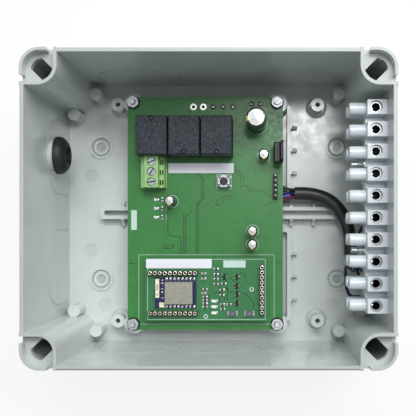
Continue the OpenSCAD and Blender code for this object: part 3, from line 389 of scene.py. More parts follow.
def dress(node, *finishes, rule=None, ease=0.0, smooth=35):
    """Gives a CAD node its finishes, and rounds its edges by ease, in millimetres.

    rule picks the number of a finish for a face, from the face's middle and normal.
    """
    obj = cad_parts[node]
    obj.data.materials.clear()
    for name in finishes:
        obj.data.materials.append(finish(name))
    for face in obj.data.polygons:
        face.use_smooth = True
        face.material_index = rule(face.center, face.normal) if rule else 0
    weld = obj.modifiers.new("weld", "WELD")
    weld.merge_threshold = 0.002 * MM
    # Triangles in one plane become one face, so that the plane is shaded flat
    plane = obj.modifiers.new("planes", "DECIMATE")
    plane.decimate_type, plane.angle_limit, plane.delimit = "DISSOLVE", math.radians(0.4), {"MATERIAL"}
    if ease:
        bevel = obj.modifiers.new("ease", "BEVEL")
        bevel.width, bevel.segments = ease * MM, 2
        bevel.limit_method, bevel.angle_limit = "ANGLE", math.radians(50)
        bevel.use_clamp_overlap = True
    split = obj.modifiers.new("edges", "EDGE_SPLIT")
    split.split_angle = math.radians(smooth)
    flat = obj.modifiers.new("flats", "WEIGHTED_NORMAL")
    flat.weight = 100


# Shapes


# Turns that bring a form made along Z round to the way named
AXES = {"Z": Matrix.Identity(4), "-X": Matrix.Rotation(-math.pi / 2, 4, "Y")}


class Shape:
    """A piece put together from simple forms, each with a finish of its own.

    Sizes are in millimetres, and places are points in metres.
    """

    def __init__(self, *finishes):
        self.mesh = bmesh.new()
        self.finishes = finishes

    def take(self, part, look, place=None):
        """Adds a form to the piece, moved to its place and in its finish."""
        if place is not None:
            bmesh.ops.transform(part, matrix=place, verts=part.verts)
        bmesh.ops.recalc_face_normals(part, faces=part.faces)
        for face in part.faces:
            face.material_index = self.finishes.index(look)
        mesh = bpy.data.meshes.new("part")
        part.to_mesh(mesh)
        part.free()
        self.mesh.from_mesh(mesh)
        bpy.data.meshes.remove(mesh)

    def block(self, size, place, look, ease=0.0, turn=0.0):
        """Box with eased edges, standing on place."""
        part, size = bmesh.new(), mm(*size)
        bmesh.ops.create_cube(part, size=1, matrix=Matrix.Diagonal((*size, 1)))
        if ease:
            bmesh.ops.bevel(
                part, geom=part.edges[:], offset=ease * MM, segments=2, profile=0.5,
                affect="EDGES", material=-1, clamp_overlap=True)
        up = Matrix.Translation(Vector(place) + UP * size.z / 2)
        self.take(part, look, up @ Matrix.Rotation(turn, 4, "Z"))

    def turned(self, outline, place, look, axis="Z", sides=None):
        """Turns an outline of (radius, height) pairs about its axis."""
        part = bmesh.new()
        points = [part.verts.new(mm(r, 0, h)) for r, h in outline]
        edges = [part.edges.new(pair) for pair in zip(points, points[1:])]
        bmesh.ops.spin(
            part, geom=points + edges, axis=UP, cent=(0, 0, 0), dvec=(0, 0, 0), angle=2 * math.pi,
            steps=sides or sizes().sides, use_merge=True, use_duplicate=False)
        bmesh.ops.remove_doubles(part, verts=part.verts, dist=MERGE)
        self.take(part, look, Matrix.Translation(place) @ AXES[axis])

    def disc(self, radius, height, place, look, axis="Z", sides=None):
        """Flat round plate."""
        self.turned([(0, 0), (radius, 0), (radius, height), (0, height)], place, look, axis, sides)

    def ring(self, inner, outer, height, place, look, sides=None):
        """Flat washer with a square edge."""
        outline = [(inner, 0), (outer, 0), (outer, height), (inner, height), (inner, 0)]
        self.turned(outline, place, look, sides=sides)

    def line(self, points, width, level, look, height=FILM):
        """Thin raised line through points given in millimetres, with round ends and corners."""
        spots = [at(x, y, level) for x, y in points]
        for a, b in zip(spots, spots[1:]):
            run = b - a
            self.block((run.length / MM, width, height), (a + b) / 2, look, turn=math.atan2(run.y, run.x))
        for spot in spots:
            self.disc(width / 2, height, spot, look, sides=8)

    def outlined(self, corner, across, width, level, look):
        """Lines round the rectangle between two opposite corners, given in millimetres."""
        (x, y), (u, v) = corner, across
        self.line([(x, y), (u, y), (u, v), (x, v), (x, y)], width, level, look)

    def piece(self, name, slot, stands_for=(), smooth=35):
        """Makes the piece an object that rides on the root, in the place of the nodes that it stands for."""
        mesh = bpy.data.meshes.new(name)
        self.mesh.to_mesh(mesh)
        self.mesh.free()
        for look in self.finishes:
            mesh.materials.append(finish(look))
        mesh.shade_smooth()
        mesh.set_sharp_from_angle(angle=math.radians(smooth))
        obj = bpy.data.objects.new(name, mesh)
        bpy.context.scene.collection.objects.link(obj)
        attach(obj, ROOT)
        if stands_for:
            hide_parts(*stands_for)


def routed(points, radius, name):
    """A round cord along points, all in millimetres, as a mesh with closed ends."""
    curve = bpy.data.curves.new(name, "CURVE")
    curve.dimensions, curve.resolution_u = "3D", 6
    curve.bevel_depth, curve.bevel_resolution, curve.use_fill_caps = radius * MM, 4, True
    spline = curve.splines.new("BEZIER")
    spline.bezier_points.add(len(points) - 1)
    for knot, point in zip(spline.bezier_points, points):
        knot.co = mm(*point)
        knot.handle_left_type = knot.handle_right_type = "AUTO"
    holder = bpy.data.objects.new(name, curve)
    bpy.context.scene.collection.objects.link(holder)
    bpy.context.view_layer.update()
    seen = holder.evaluated_get(bpy.context.evaluated_depsgraph_get())
    mesh = bpy.data.meshes.new_from_object(seen)
    bpy.data.objects.remove(holder)
    bpy.data.curves.remove(curve)
    part = bmesh.new()
    part.from_mesh(mesh)
    bpy.data.meshes.remove(mesh)
    bmesh.ops.remove_doubles(part, verts=part.verts, dist=MERGE)
    return part


# Places on the boards, in millimetres, as the part's source has them

BOARD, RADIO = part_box("main_board"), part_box("radio_board")
BOARD_LEFT, BOARD_BOTTOM = BOARD[0].x / MM, BOARD[0].y / MM
BOARD_RIGHT, BOARD_TOP = BOARD[1].x / MM, BOARD[1].y / MM
RADIO_X, RADIO_Y = centre("radio_board").x / MM, centre("radio_board").y / MM
# Levels of the boards' upper faces, in metres
ON_BOARD, ON_RADIO = BOARD[1].z, RADIO[1].z
PIN_PITCH, PORT_PITCH = 2.54, 5.08


def on_radio(*places):
    return [(RADIO_X + x, RADIO_Y + y) for x, y in places]


# Middle, radius and height of each, the tall one first
CAPACITORS = [
    (BOARD_RIGHT - 13.6, BOARD_TOP - 13.8, 5.0, 20.0),
    (BOARD_RIGHT - 9.8, BOARD_TOP - 30.6, 2.5, 11.0),
    (BOARD_LEFT + 22.9, BOARD_TOP - 53.9, 2.5, 11.0),
    (BOARD_RIGHT - 15.6, BOARD_BOTTOM + 50.9, 2.5, 11.0),
    (BOARD_RIGHT - 15.6, BOARD_BOTTOM + 44.1, 2.5, 11.0),
]
# Two ports are open holes, and the others are soldered, as are the two joints beside the tall capacitor
PORTS = [(BOARD_LEFT + 33.9 + i * PORT_PITCH, BOARD_TOP - 5.1) for i in range(5)]
OPEN_PORTS, SOLDERED_PORTS = PORTS[:2], PORTS[2:]
TALL_JOINTS = [(17.6, 55.9), (22.2, 55.9)]
BOARD_LEDS = [(BOARD_LEFT + 14.7, BOARD_TOP - 53 - i * 4.55) for i in range(3)]
BOARD_RESISTORS = [(x + 3, y) for x, y in BOARD_LEDS]
TEST_POINTS = on_radio((23, 0), (-0.3, -13.8))
RADIO_LEDS = on_radio((4, -5.9), (4, -8.8), (4, -11.9))
RADIO_RESISTORS = on_radio(
    (4.9, 10.3), (4.9, 7.6), (4.9, 5.2), (4.9, 2.6), (8.8, 2.8), (7.9, -0.3), (7.9, -3),
    (-0.7, -0.1), (-0.7, -3.9), (-0.7, -5.7), (-0.7, -7.3), (-0.7, -9), (8.1, -7.7), (11.5, -7.7), (8.3, -10))
RADIO_CAPACITORS = on_radio((-1.4, 8), (-1.4, 5.4), (-1.4, -2))
TRANSISTORS = on_radio((9.1, 6.5), (15.5, 6.5), (15.5, 1.9), (15.6, -2.2), (15.6, -6.8))
# Two rows of ten contacts along the board and one across it
STEPS = [(i - 4.5) * PIN_PITCH for i in range(10)]
CONTACTS = on_radio(
    *[(step - 16.95, row) for row in (8.4, -11.92) for step in STEPS], *[(28.2, step - 0.15) for step in STEPS])


def near(places, point):
    """The place nearest to a point, in metres."""
    return min((mm(x, y, 0) for x, y in places), key=lambda p: (p.xy - point.xy).length)


# Operators


class RECEIVER_OT_stage(bpy.types.Operator):
    """Make the camera, the pale floor, the lamps and the background"""

    bl_idname = "receiver.stage"
    bl_label = "Stage"

    def execute(self, context):
        stage = context.scene.receiver_stage
        camera = bpy.data.objects.new("camera", bpy.data.cameras.new("camera"))
        camera.location = stage.camera
        camera.data.lens, camera.data.sensor_width = stage.lens, 36
        camera.data.shift_x, camera.data.shift_y = stage.shift_x, stage.shift_y
        camera.data.clip_start, camera.data.clip_end = 0.01, 20
        context.scene.collection.objects.link(camera)
        context.scene.camera = camera

        mesh = bmesh.new()
        bmesh.ops.create_grid(mesh, x_segments=1, y_segments=1, size=stage.floor / 2)
        data = bpy.data.meshes.new("floor")
        mesh.to_mesh(data)
        mesh.free()
        data.materials.append(self.floor_material())
        floor = bpy.data.objects.new("floor", data)
        floor.location.z = -0.05 * MM
        context.scene.collection.objects.link(floor)

        for name, size in LAMP_SIZES.items():
            self.lamp(context, name, getattr(stage, name), getattr(stage, name + "_power"), size)
        self.world(context, stage.sky)
        context.scene.view_settings.view_transform = "Standard"
        return {"FINISHED"}

    def lamp(self, context, name, spot, watts, size):
        """A rectangular lamp turned to the middle of the box, with its length across the picture."""
        light = bpy.data.lights.new(name, "AREA")
        light.shape, light.energy = "RECTANGLE", watts
        light.size, light.size_y = size
        lamp = bpy.data.objects.new(name, light)
        lamp.location = spot
        lamp.rotation_mode = "QUATERNION"
        lamp.rotation_quaternion = (Vector(spot) - mm(10, 0, 0)).to_track_quat("Z", "Y")
        context.scene.collection.objects.link(lamp)

    def floor_material(self):
        """Pale floor that is white to the camera and keeps the object's shadow."""
        material = bpy.data.materials.new("pale_floor")
        diffuse, glow = self.shaders(material, "ShaderNodeBsdfDiffuse", "ShaderNodeEmission")
        diffuse.inputs["Color"].default_value = (0.82, 0.82, 0.82, 1)
        glow.inputs["Strength"].default_value = 1
        self.by_ray(material, "ShaderNodeOutputMaterial", diffuse, glow, ["Is Camera Ray"], 0.86)
        return material

    def world(self, context, strength):
        """Even light from all round, and plain white behind everything."""
        world = bpy.data.worlds.new("studio")
        sky, white = self.shaders(world, "ShaderNodeBackground", "ShaderNodeBackground")
        sky.inputs["Color"].default_value = (0.97, 0.99, 1, 1)
        sky.inputs["Strength"].default_value = strength
        white.inputs["Color"].default_value = (1, 1, 1, 1)
        rays = ["Is Camera Ray", "Is Glossy Ray", "Is Transmission Ray"]
        self.by_ray(world, "ShaderNodeOutputWorld", sky, white, rays, 1)
        context.scene.world = world

    def shaders(self, owner, *kinds):
        """Empties the node tree of a material or world, and puts shaders in it."""
        owner.use_nodes = True
        owner.node_tree.nodes.clear()
        return [owner.node_tree.nodes.new(kind) for kind in kinds]

    def by_ray(self, owner, output, lit, shown, rays, share):
        """Shows one shader to the rays named, up to share, and the other to all the rest."""
        nodes, links = owner.node_tree.nodes, owner.node_tree.links
        path, mix = nodes.new("ShaderNodeLightPath"), nodes.new("ShaderNodeMixShader")
        part = nodes.new("ShaderNodeMath")
        part.operation = "MULTIPLY"
        part.inputs[1].default_value = share
        seen = path.outputs[rays[0]]
        for ray in rays[1:]:
            either = nodes.new("ShaderNodeMath")
            either.operation = "MAXIMUM"
            links.new(seen, either.inputs[0])
            links.new(path.outputs[ray], either.inputs[1])
            seen = either.outputs[0]
        links.new(seen, part.inputs[0])
        for i, socket in enumerate((part.outputs[0], lit.outputs[0], shown.outputs[0])):
            links.new(socket, mix.inputs[i])
        links.new(mix.outputs[0], nodes.new(output).inputs["Surface"])


class RECEIVER_OT_box(bpy.types.Operator):
    """Finish the moulded base and its rubber grommet"""

    bl_idname = "receiver.box"
    bl_label = "Box and grommet"

    def execute(self, context):
        floor = self.floor_level()
        plain, painted_recess_shade, painted_rim_shade, marked = range(4)

        def part_of_box(point, normal):
            """Painted shade in the sunken rings of the floor and on the rim and shelves, the ejector marks of the
            floor, or the rest.
            """
            if normal.z < 0.7:
                return plain
            depth = (floor - point.z) / MM
            if 0.4 < depth < 0.8:
                return painted_recess_shade
            if 0.1 < depth < 0.4:
                return marked
            return painted_rim_shade if point.z > PAINTED_RIM_SHADE_LEVEL else plain

        dress(
            "enclosure_base", "box", "box_recess_painted_shade", "box_rim", "box_mark",
            ease=sizes().ease / MM, smooth=30, rule=part_of_box)
        dress("cable_grommet", "rubber", ease=0.3)
        return {"FINISHED"}

    def floor_level(self):
        """Height of the floor: that of the widest level stretch inside the walls."""
        areas = {}
        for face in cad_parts["enclosure_base"].data.polygons:
            if face.normal.z > 0.99 and face.center.z < 10 * MM:
                level = round(face.center.z / MM, 2)
                areas[level] = areas.get(level, 0) + face.area
        return max(areas, key=areas.get) * MM


class RECEIVER_OT_boards(bpy.types.Operator):
    """Finish the two boards: mask, cut edges, printed lines, traces, pads and labels"""

    bl_idname = "receiver.boards"
    bl_label = "Boards"

    def execute(self, context):
        for node, face in (("main_board", "board"), ("radio_board", "radio_board")):
            dress(node, face, "laminate", rule=lambda c, n: int(abs(n.z) < 0.5))
        for node in ("board_label", "radio_label"):
            dress(node, "label", ease=0.04)
        self.printing()
        self.traces("main_board_traces", MAIN_TRACES, ON_BOARD)
        self.traces("radio_board_traces", RADIO_TRACES, ON_RADIO)
        self.pads()
        return {"FINISHED"}

    def printing(self):
        """Lines, frames, rings and blank write-on fields of the two boards."""
        width, field = sizes().print_width / MM, 0.04
        s = Shape("ink")
        s.outlined((-40.5, -21.8), (29.3, -57.5), width, ON_BOARD, "ink")
        tall, *small = CAPACITORS
        for (x, y, r, _), gap, sides in [(tall, 0.5, 48)] + [(one, 0.55, 40) for one in small]:
            s.ring(r + gap, r + gap + width, FILM, at(x, y, ON_BOARD), "ink", sides)
        x, y = centre("switch_body").xy / MM
        s.outlined((x - 3.7, y - 3.7), (x + 3.7, y + 3.7), width, ON_BOARD, "ink")
        for x, y in BOARD_LEDS:
            for side in (-0.9, 5.2):
                s.line([(x + side, y - 1.3), (x + side, y + 1.3)], width, ON_BOARD, "ink")
        s.block((2.9, 10.1, field), at(-42.95, -3.85, ON_BOARD), "ink")
        s.piece("main_board_print", slot="label_film")

        s = Shape("ink")
        reach = (RADIO[1] - RADIO[0]) / 2 / MM - Vector((1.2, 0.9, 0))
        corner, across = (RADIO_X - reach.x, RADIO_Y - reach.y), (RADIO_X + reach.x, RADIO_Y + reach.y)
        s.outlined(corner, across, width, ON_RADIO, "ink")
        s.block((11.3, 3.6, field), at(9.05, -26.3, ON_RADIO), "ink")
        for x, y in TEST_POINTS:
            s.ring(0.6, 1.1, FILM, at(x, y, ON_RADIO), "ink")
        s.piece("radio_board_print", slot="label_film")

    def traces(self, name, tracks, level):
        """Dark edges of the copper tracks under the mask."""
        s = Shape("trace")
        for points in tracks:
            s.line(points, sizes().trace_width / MM, level, "trace", 0.02)
        s.piece(name, slot="green_laminate")

    def pads(self):
        """Open port holes, soldered ports, and the joints beside the tall capacitor."""
        s = Shape("bright_zinc", "solder", "painted_hole_shade", "trace")
        for x, y in OPEN_PORTS:
            s.ring(0.8, 1.7, 0.04, at(x, y, ON_BOARD), "bright_zinc")
            # Painted shade inside each open hole: a dark ring at its edge and a dark disc down in it
            s.ring(0.3, 0.82, 0.05, at(x, y, ON_BOARD - 0.02 * MM), "painted_hole_shade")
            s.disc(0.66, 0.1, at(x, y, ON_BOARD - 0.9 * MM), "painted_hole_shade")
        joint = [(0.95, 0), (0.9, 0.25), (0.75, 0.5), (0.45, 0.7), (0.2, 0.78), (0, 0.8)]
        for places, wide, high in ((SOLDERED_PORTS, 1.3, 1), (TALL_JOINTS, 1.35, 1.5)):
            for x, y in places:
                spot = at(x, y, ON_BOARD)
                s.ring(1.2, 1.65, FILM, spot, "trace")
                s.turned([(r * wide, h * high) for r, h in joint], spot, "solder")
        s.piece("board_solder", slot="tinned_metal", smooth=60)


# Copper tracks that show through the mask, from the middle of the box in millimetres
MAIN_TRACES = [
    [(14.0, 54.3), (9.9, 49.5), (9.9, 38.6), (13.7, 32.4)],
    [(15.0, 53.6), (10.9, 48.5), (10.9, 39.2), (14.7, 33.8)],
    [(8.2, 37.9), (12.3, 35.8)], [(11.6, 33.1), (15.0, 30.4)], [(10.2, 31.0), (13.0, 28.3)],
    [(19.5, 29.0), (20.9, 25.6)], [(17.8, 24.2), (19.8, 20.1)],
    [(8.9, 23.5), (13.7, 18.7), (13.7, 16.0)], [(8.2, 21.8), (12.0, 18.4), (12.0, 16.0)],
    [(12.0, 13.9), (15.0, 13.9), (16.4, 11.2), (23.9, 11.2), (26.7, 8.5), (28.7, 8.5)],
    [(-0.7, 5.4), (3.4, 8.5), (7.2, 8.5), (7.2, 7.1), (4.4, 7.1), (1.4, 4.0), (-0.7, 4.0), (-0.7, 5.4)],
    [(23.6, 2.7), (27.3, 5.4), (31.5, 5.4), (32.5, 7.8)],
    [(-10.8, 20.1), (-8.1, 17.7), (-8.1, 7.1), (-10.8, 4.4), (-10.8, -21.2)],
    [(-9.8, 20.1), (-7.1, 17.7), (-7.1, 7.1), (-9.8, 4.4), (-9.8, -21.2)],
    [(-25.5, 2.4), (-25.5, -10.6), (-23.8, -12.3), (-19.4, -12.3), (-18.7, -13.6), (-18.7, -20.1), (-20, -21.2)],
    [(-17.3, 0.4), (-17.3, -21.2)], [(-12.9, 0.7), (-16.3, -2.0), (-16.3, -21.2)],
    [(-27.2, -17.4), (-23.1, -16.4), (-22.4, -17.4), (-23.8, -18.4), (-27.2, -18.4), (-27.2, -17.4)],
    [(-45.6, -26.2), (-41.4, -26.2)], [(30.2, -25.9), (33.4, -25.9)],
]

RADIO_TRACES = [
    [(12.8, -40.9), (15.2, -41.9), (18.9, -46.0), (18.9, -49.0)],
    [(11.8, -30.8), (14.5, -31.5), (14.5, -34.5)],
    [(1.6, -29.6), (1.6, -46.4), (3.2, -48.2)],
    [(3.0, -33.2), (5.4, -35.4), (5.4, -45.0)],
    [(-1.6, -40.8), (2.6, -40.8), (4.0, -42.2), (4.0, -44.6)],
    [(-7.0, -45.2), (-3.2, -41.4)], [(-7.0, -46.6), (-3.2, -42.8)], [(-7.0, -48.0), (-3.2, -44.2)],
    [(4.2, -37.8), (6.8, -40.4), (9.4, -40.4)],
    [(6.6, -33.0), (9.4, -36.0), (9.4, -39.0)],
]


class RECEIVER_OT_relays(bpy.types.Operator):
    """Finish the relays and the pins under them"""

    bl_idname = "receiver.relays"
    bl_label = "Relays"

    def execute(self, context):
        s = Shape("painted_hole_shade", "painted_vent_glint")
        dot = [(0.4, 0), (0.36, 0.3), (0.2, 0.45), (0, 0.5)]
        for i in (1, 2, 3):
            low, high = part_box(f"relay_{i}")
            vent_floor = high.z - 0.6 * MM
            # The floor of each vent gets painted shade
            dress(
                f"relay_{i}", "relay", "painted_hole_shade", ease=0.35,
                rule=lambda c, n, z=vent_floor: int(n.z > 0.9 and z - 0.4 * MM < c.z < z))
            # The first relay's vent is at its other end
            x, y = (low.x + high.x) / 2, high.y - 1.3 * MM if i == 1 else low.y + 1.3 * MM
            # A ring of painted shade round the vent, and a pale dot in it as a painted glint
            s.ring(0.5, 1.3, FILM, (x, y, high.z), "painted_hole_shade", 24)
            s.turned(dot, (x, y, high.z - 0.8 * MM), "painted_vent_glint", sides=12)
        s.piece("relay_vents", slot="relay_plastic")
        dress("relay_pins", "tin")
        return {"FINISHED"}


class RECEIVER_OT_terminals(bpy.types.Operator):
    """Finish the green terminal block, its screws and its clamps"""

    bl_idname = "receiver.terminals"
    bl_label = "Terminal block"

    def execute(self, context):
        dress("terminal_block", "terminal", ease=0.15)
        for i in (1, 2, 3):
            top = top_of(f"block_screw_{i}") - 0.1 * MM
            # The slot and the sides of each screw get painted shade
            dress(f"block_screw_{i}", "steel", "slot", rule=lambda c, n, z=top: int(n.z < 0.9 or c.z < z))
            dress(f"block_clamp_{i}", "tin", ease=0.08)
        return {"FINISHED"}


class RECEIVER_OT_capacitors(bpy.types.Operator):
    """Make the capacitors: cans with a crimped foot in printed sleeves"""

    bl_idname = "receiver.capacitors"
    bl_label = "Capacitors"

    def execute(self, context):
        dress("capacitor_cans", "can", ease=0.06)
        s = Shape("sleeve", "stripe")
        for x, y, r, h in CAPACITORS:
            outline = [
                (r - 0.28, 0.3), (r - 0.05, 0.35), (r, 0.7), (r, 1.2), (r - 0.22, 1.55), (r - 0.22, 1.75), (r, 2.1),
                (r, h - 0.35), (r - 0.12, h + 0.02), (r - 0.4, h + 0.18), (r * 0.79, h + 0.2), (r * 0.77, h + 0.12),
                (r * 0.77, h), (r - 0.27, h - 0.02), (r - 0.28, 0.3)]
            s.turned(outline, at(x, y, ON_BOARD), "sleeve", sides=48)
        self.stripes(s.mesh)
        s.piece("capacitor_films", stands_for=("capacitor_sleeves",), slot="sleeve_film")
        s = Shape("can", "slot")
        for x, y, r, h in CAPACITORS:
            self.top(s, at(x, y, ON_BOARD + h * MM), (r - 0.3) * 0.8)
        s.piece("capacitor_tops", slot="can_aluminium", smooth=3)
        return {"FINISHED"}

    def top(self, s, spot, radius, turn=0.5, slope=0.07):
        """A scored top: a disc cut in four, each quarter pressed to a slope of its own."""
        part, reach = bmesh.new(), radius * MM
        bmesh.ops.create_circle(part, cap_ends=True, cap_tris=True, segments=32, radius=reach)
        bmesh.ops.rotate(part, verts=part.verts, matrix=Matrix.Rotation(turn, 3, "Z"))
        score = Matrix.Rotation(-turn, 3, "Z")
        for vert in part.verts:
            along = score @ vert.co
            vert.co.z = slope * (math.sqrt(2) * reach - abs(along.x) - abs(along.y))
        edge = bmesh.ops.extrude_edge_only(part, edges=[e for e in part.edges if e.is_boundary])
        rim = [v for v in edge["geom"] if isinstance(v, bmesh.types.BMVert)]
        bmesh.ops.translate(part, verts=rim, vec=(0, 0, -0.05 * MM))
        s.take(part, "can", Matrix.Translation(spot + UP * 0.02 * MM))
        # Score lines painted in shade across the top
        for way in (turn, turn + math.pi / 2):
            for side in (-1, 1):
                out = Matrix.Rotation(way, 3, "Z") @ Vector((side * reach * 0.4, 0, 0))
                s.block((radius * 0.75, 0.14, FILM), spot + out + UP * 0.072 * reach, "slot", turn=way)

    def stripes(self, mesh):
        """Paints the minus stripe down one side of every sleeve."""
        places = [c[:2] for c in CAPACITORS]
        tall = mm(*places[0], 0)
        for face in mesh.faces:
            point = face.calc_center_median()
            place = near(places, point)
            way = point - place
            start, end = (172, 206) if place == tall else (250, 286)
            if start < math.degrees(math.atan2(way.y, way.x)) % 360 < end:
                face.material_index = 1


class RECEIVER_OT_switches(bpy.types.Operator):
    """Finish the push switch and the two small switches of the radio board"""

    bl_idname = "receiver.switches"
    bl_label = "Switches"

    def execute(self, context):
        dress("switch_body", "black", ease=0.1)
        dress("switch_cover", "steel", ease=0.05)
        dress("switch_button", "black", ease=0.15)
        x, y = centre("switch_body").xy / MM
        rivet = [(0, 0), (0.36, 0), (0.34, 0.14), (0.2, 0.22), (0, 0.24)]
        s = Shape("black", "tin")
        for sx in (-1, 1):
            for sy in (-1, 1):
                spot = at(x + sx * 2.15, y + sy * 2.15, top_of("switch_cover"))
                s.ring(0.3, 0.75, 0.05, spot, "black", 20)
                s.turned(rivet, spot, "tin", sides=16)
                s.block((1.1, 0.7, 0.25), at(x + sx * 3.3, y + sy * 2.25, ON_BOARD), "tin", 0.06)
        s.piece("switch_details", slot="black_plastic")
        buttons = [centre(f"small_button_{i}").xy / MM for i in (1, 2)]

        def on_plate(point, normal):
            """The dark plate round a button, between the tinned ends."""
            return int(abs(point.x - near(buttons, point).x) < 1.7 * MM)

        dress("small_switch_bodies", "tin", "dull_steel", rule=on_plate, ease=0.08)
        for i in (1, 2):
            dress(f"small_button_{i}", "grey_button", ease=0.1)
        return {"FINISHED"}


class RECEIVER_OT_header(bpy.types.Operator):
    """Finish the pin header and the regulator"""

    bl_idname = "receiver.header"
    bl_label = "Header and regulator"

    def execute(self, context):
        dress("header_body", "black", ease=0.2)
        dress("header_pins", "tin", ease=0.1)
        dress("regulator_body", "black", ease=0.1)
        dress("regulator_tab", "slot", ease=0.08)
        return {"FINISHED"}


class RECEIVER_OT_chips(bpy.types.Operator):
    """Finish the chips: ceramic or resin bodies between tinned ends"""

    bl_idname = "receiver.chips"
    bl_label = "Chips"

    def execute(self, context):
        along_x, along_y = 0, 1
        leds = self.tinned_ends((BOARD_LEDS, along_x, 0.6), (RADIO_LEDS, along_x, 1.1))
        dress("status_leds", "led", "solder", rule=leds, ease=0.05)
        resistors = self.tinned_ends((BOARD_RESISTORS, along_y, 0.4), (RADIO_RESISTORS, along_x, 0.55))
        dress("chip_resistors", "chip", "solder", rule=resistors, ease=0.04)
        capacitors = self.tinned_ends((RADIO_CAPACITORS, along_x, 0.6))
        tan = mm(*RADIO_CAPACITORS[2])
        dress(
            "chip_capacitors", "tan_chip", "solder", "grey_chip", ease=0.05,
            rule=lambda c, n: capacitors(c, n) or 2 * int((c.xy - tan).length > 2 * MM))
        dress("chip_transistors", "black", "solder", rule=self.leg, ease=0.05)
        self.joints()
        return {"FINISHED"}

    def tinned_ends(self, *groups):
        """A rule for chips: a group is their places, the way they lie, and how far out their ends start."""
        chips = [(place, way, start) for places, way, start in groups for place in places]

        def at_end(point, normal):
            place, way, start = min(chips, key=lambda chip: (point.xy - mm(*chip[0])).length)
            return int(abs(point[way] / MM - place[way]) > start)

        return at_end

    def leg(self, point, normal):
        """The legs of a transistor, low and to the sides."""
        aside = abs(point.x - near(TRANSISTORS, point).x)
        return int(point.z < ON_RADIO + 0.31 * MM and aside > 0.66 * MM)

    def joints(self):
        """Solder at both ends of every chip."""
        s = Shape("solder")
        for places, level, (out_x, out_y), (width, depth) in (
                (RADIO_LEDS, ON_RADIO, (1.5, 0), (0.7, 1.2)),
                (RADIO_RESISTORS + RADIO_CAPACITORS, ON_RADIO, (1, 0), (0.7, 1.2)),
                (BOARD_LEDS, ON_BOARD, (1, 0), (0.7, 1.3)),
                (BOARD_RESISTORS, ON_BOARD, (0, 0.85), (0.9, 0.6))):
            for x, y in places:
                for side in (-1, 1):
                    spot = at(x + side * out_x, y + side * out_y, level)
                    s.block((width, depth, 0.12), spot, "solder", 0.05)
        s.piece("chip_solder", slot="tinned_metal")


class RECEIVER_OT_radio(bpy.types.Operator):
    """Finish the radio module: board, castellated pads, shield, antenna and its socket"""

    bl_idname = "receiver.radio"
    bl_label = "Radio module"

    def execute(self, context):
        dress("module_board", "module", "gold", ease=0.03)
        dress("module_shield", "shield", ease=0.12)
        dress("module_antenna", "ceramic", ease=0.08)
        dress("antenna_socket", "ceramic", "gold", ease=0.04, rule=lambda c, n: int(abs(n.z) < 0.5))
        s = Shape("ceramic", "solder", "chip", "brown")
        low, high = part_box("module_board")
        x, y = centre("module_board").xy / MM
        for i in range(8):
            for edge in (high.y / MM - 0.75, low.y / MM + 0.75):
                pad = at(x + (i - 3.5) * 2 + 2.4, edge, high.z)
                s.block((1.1, 1.3, 0.05), pad, "solder", 0.02)
        # Small parts between the antenna and the shield
        kinds = ("solder", "ceramic", "chip")
        for k in range(7):
            spot = at(x - 6.7, y + 6.4 - k * 1.5, high.z)
            s.block((0.95, 0.55, 0.45), spot, kinds[k % 3], 0.06)
        # Red-brown stripe and dot on the antenna
        x, y = centre("module_antenna").xy / MM
        top = top_of("module_antenna")
        s.block((0.5, 3.2, FILM), at(x, y + 0.6, top), "brown")
        s.disc(0.38, FILM, at(x, y - 3.1, top), "brown")
        s.piece("module_details", slot="gold_plate")
        return {"FINISHED"}


class RECEIVER_OT_sockets(bpy.types.Operator):
    """Finish the socket rows and their turned contacts"""

    bl_idname = "receiver.sockets"
    bl_label = "Sockets"

    def execute(self, context):
        dress("socket_strips", "black", ease=0.12)
        rim, bore = top_of("socket_contacts") - 0.1 * MM, 0.6 * MM

        def in_bore(point, normal):
            """The inside of a contact, nearer to its axis than its bore, which gets painted shade."""
            away = (point - near(CONTACTS, point)).xy.length
            return int(ON_RADIO < point.z < rim and away < bore)

        dress("socket_contacts", "gold", "painted_hole_shade", rule=in_bore, ease=0.03)
        return {"FINISHED"}


class RECEIVER_OT_strip(bpy.types.Operator):
    """Finish the connector strip, its tubes and its screws"""

    bl_idname = "receiver.strip"
    bl_label = "Connector strip"

    def execute(self, context):
        dress("strip_body", "strip", ease=0.25)
        tubes = [centre(f"strip_screw_{i}").y for i in range(1, 11)]
        middle = centre("strip_tubes").x

        def inside(point, normal):
            """The bore of a tube, whose faces look towards its axis, which gets painted shade."""
            y = min(tubes, key=lambda t: abs(t - point.y))
            away = Vector((point.x - middle, point.y - y, 0))
            return int(away.dot(normal) < 0 and abs(normal.z) < 0.5)

        dress("strip_tubes", "tin", "painted_hole_shade", rule=inside, ease=0.1)
        dress("strip_screws_lower", "steel")
        for i in range(1, 11):
            dress(f"strip_screw_{i}", "bright_zinc", ease=0.08)
        return {"FINISHED"}


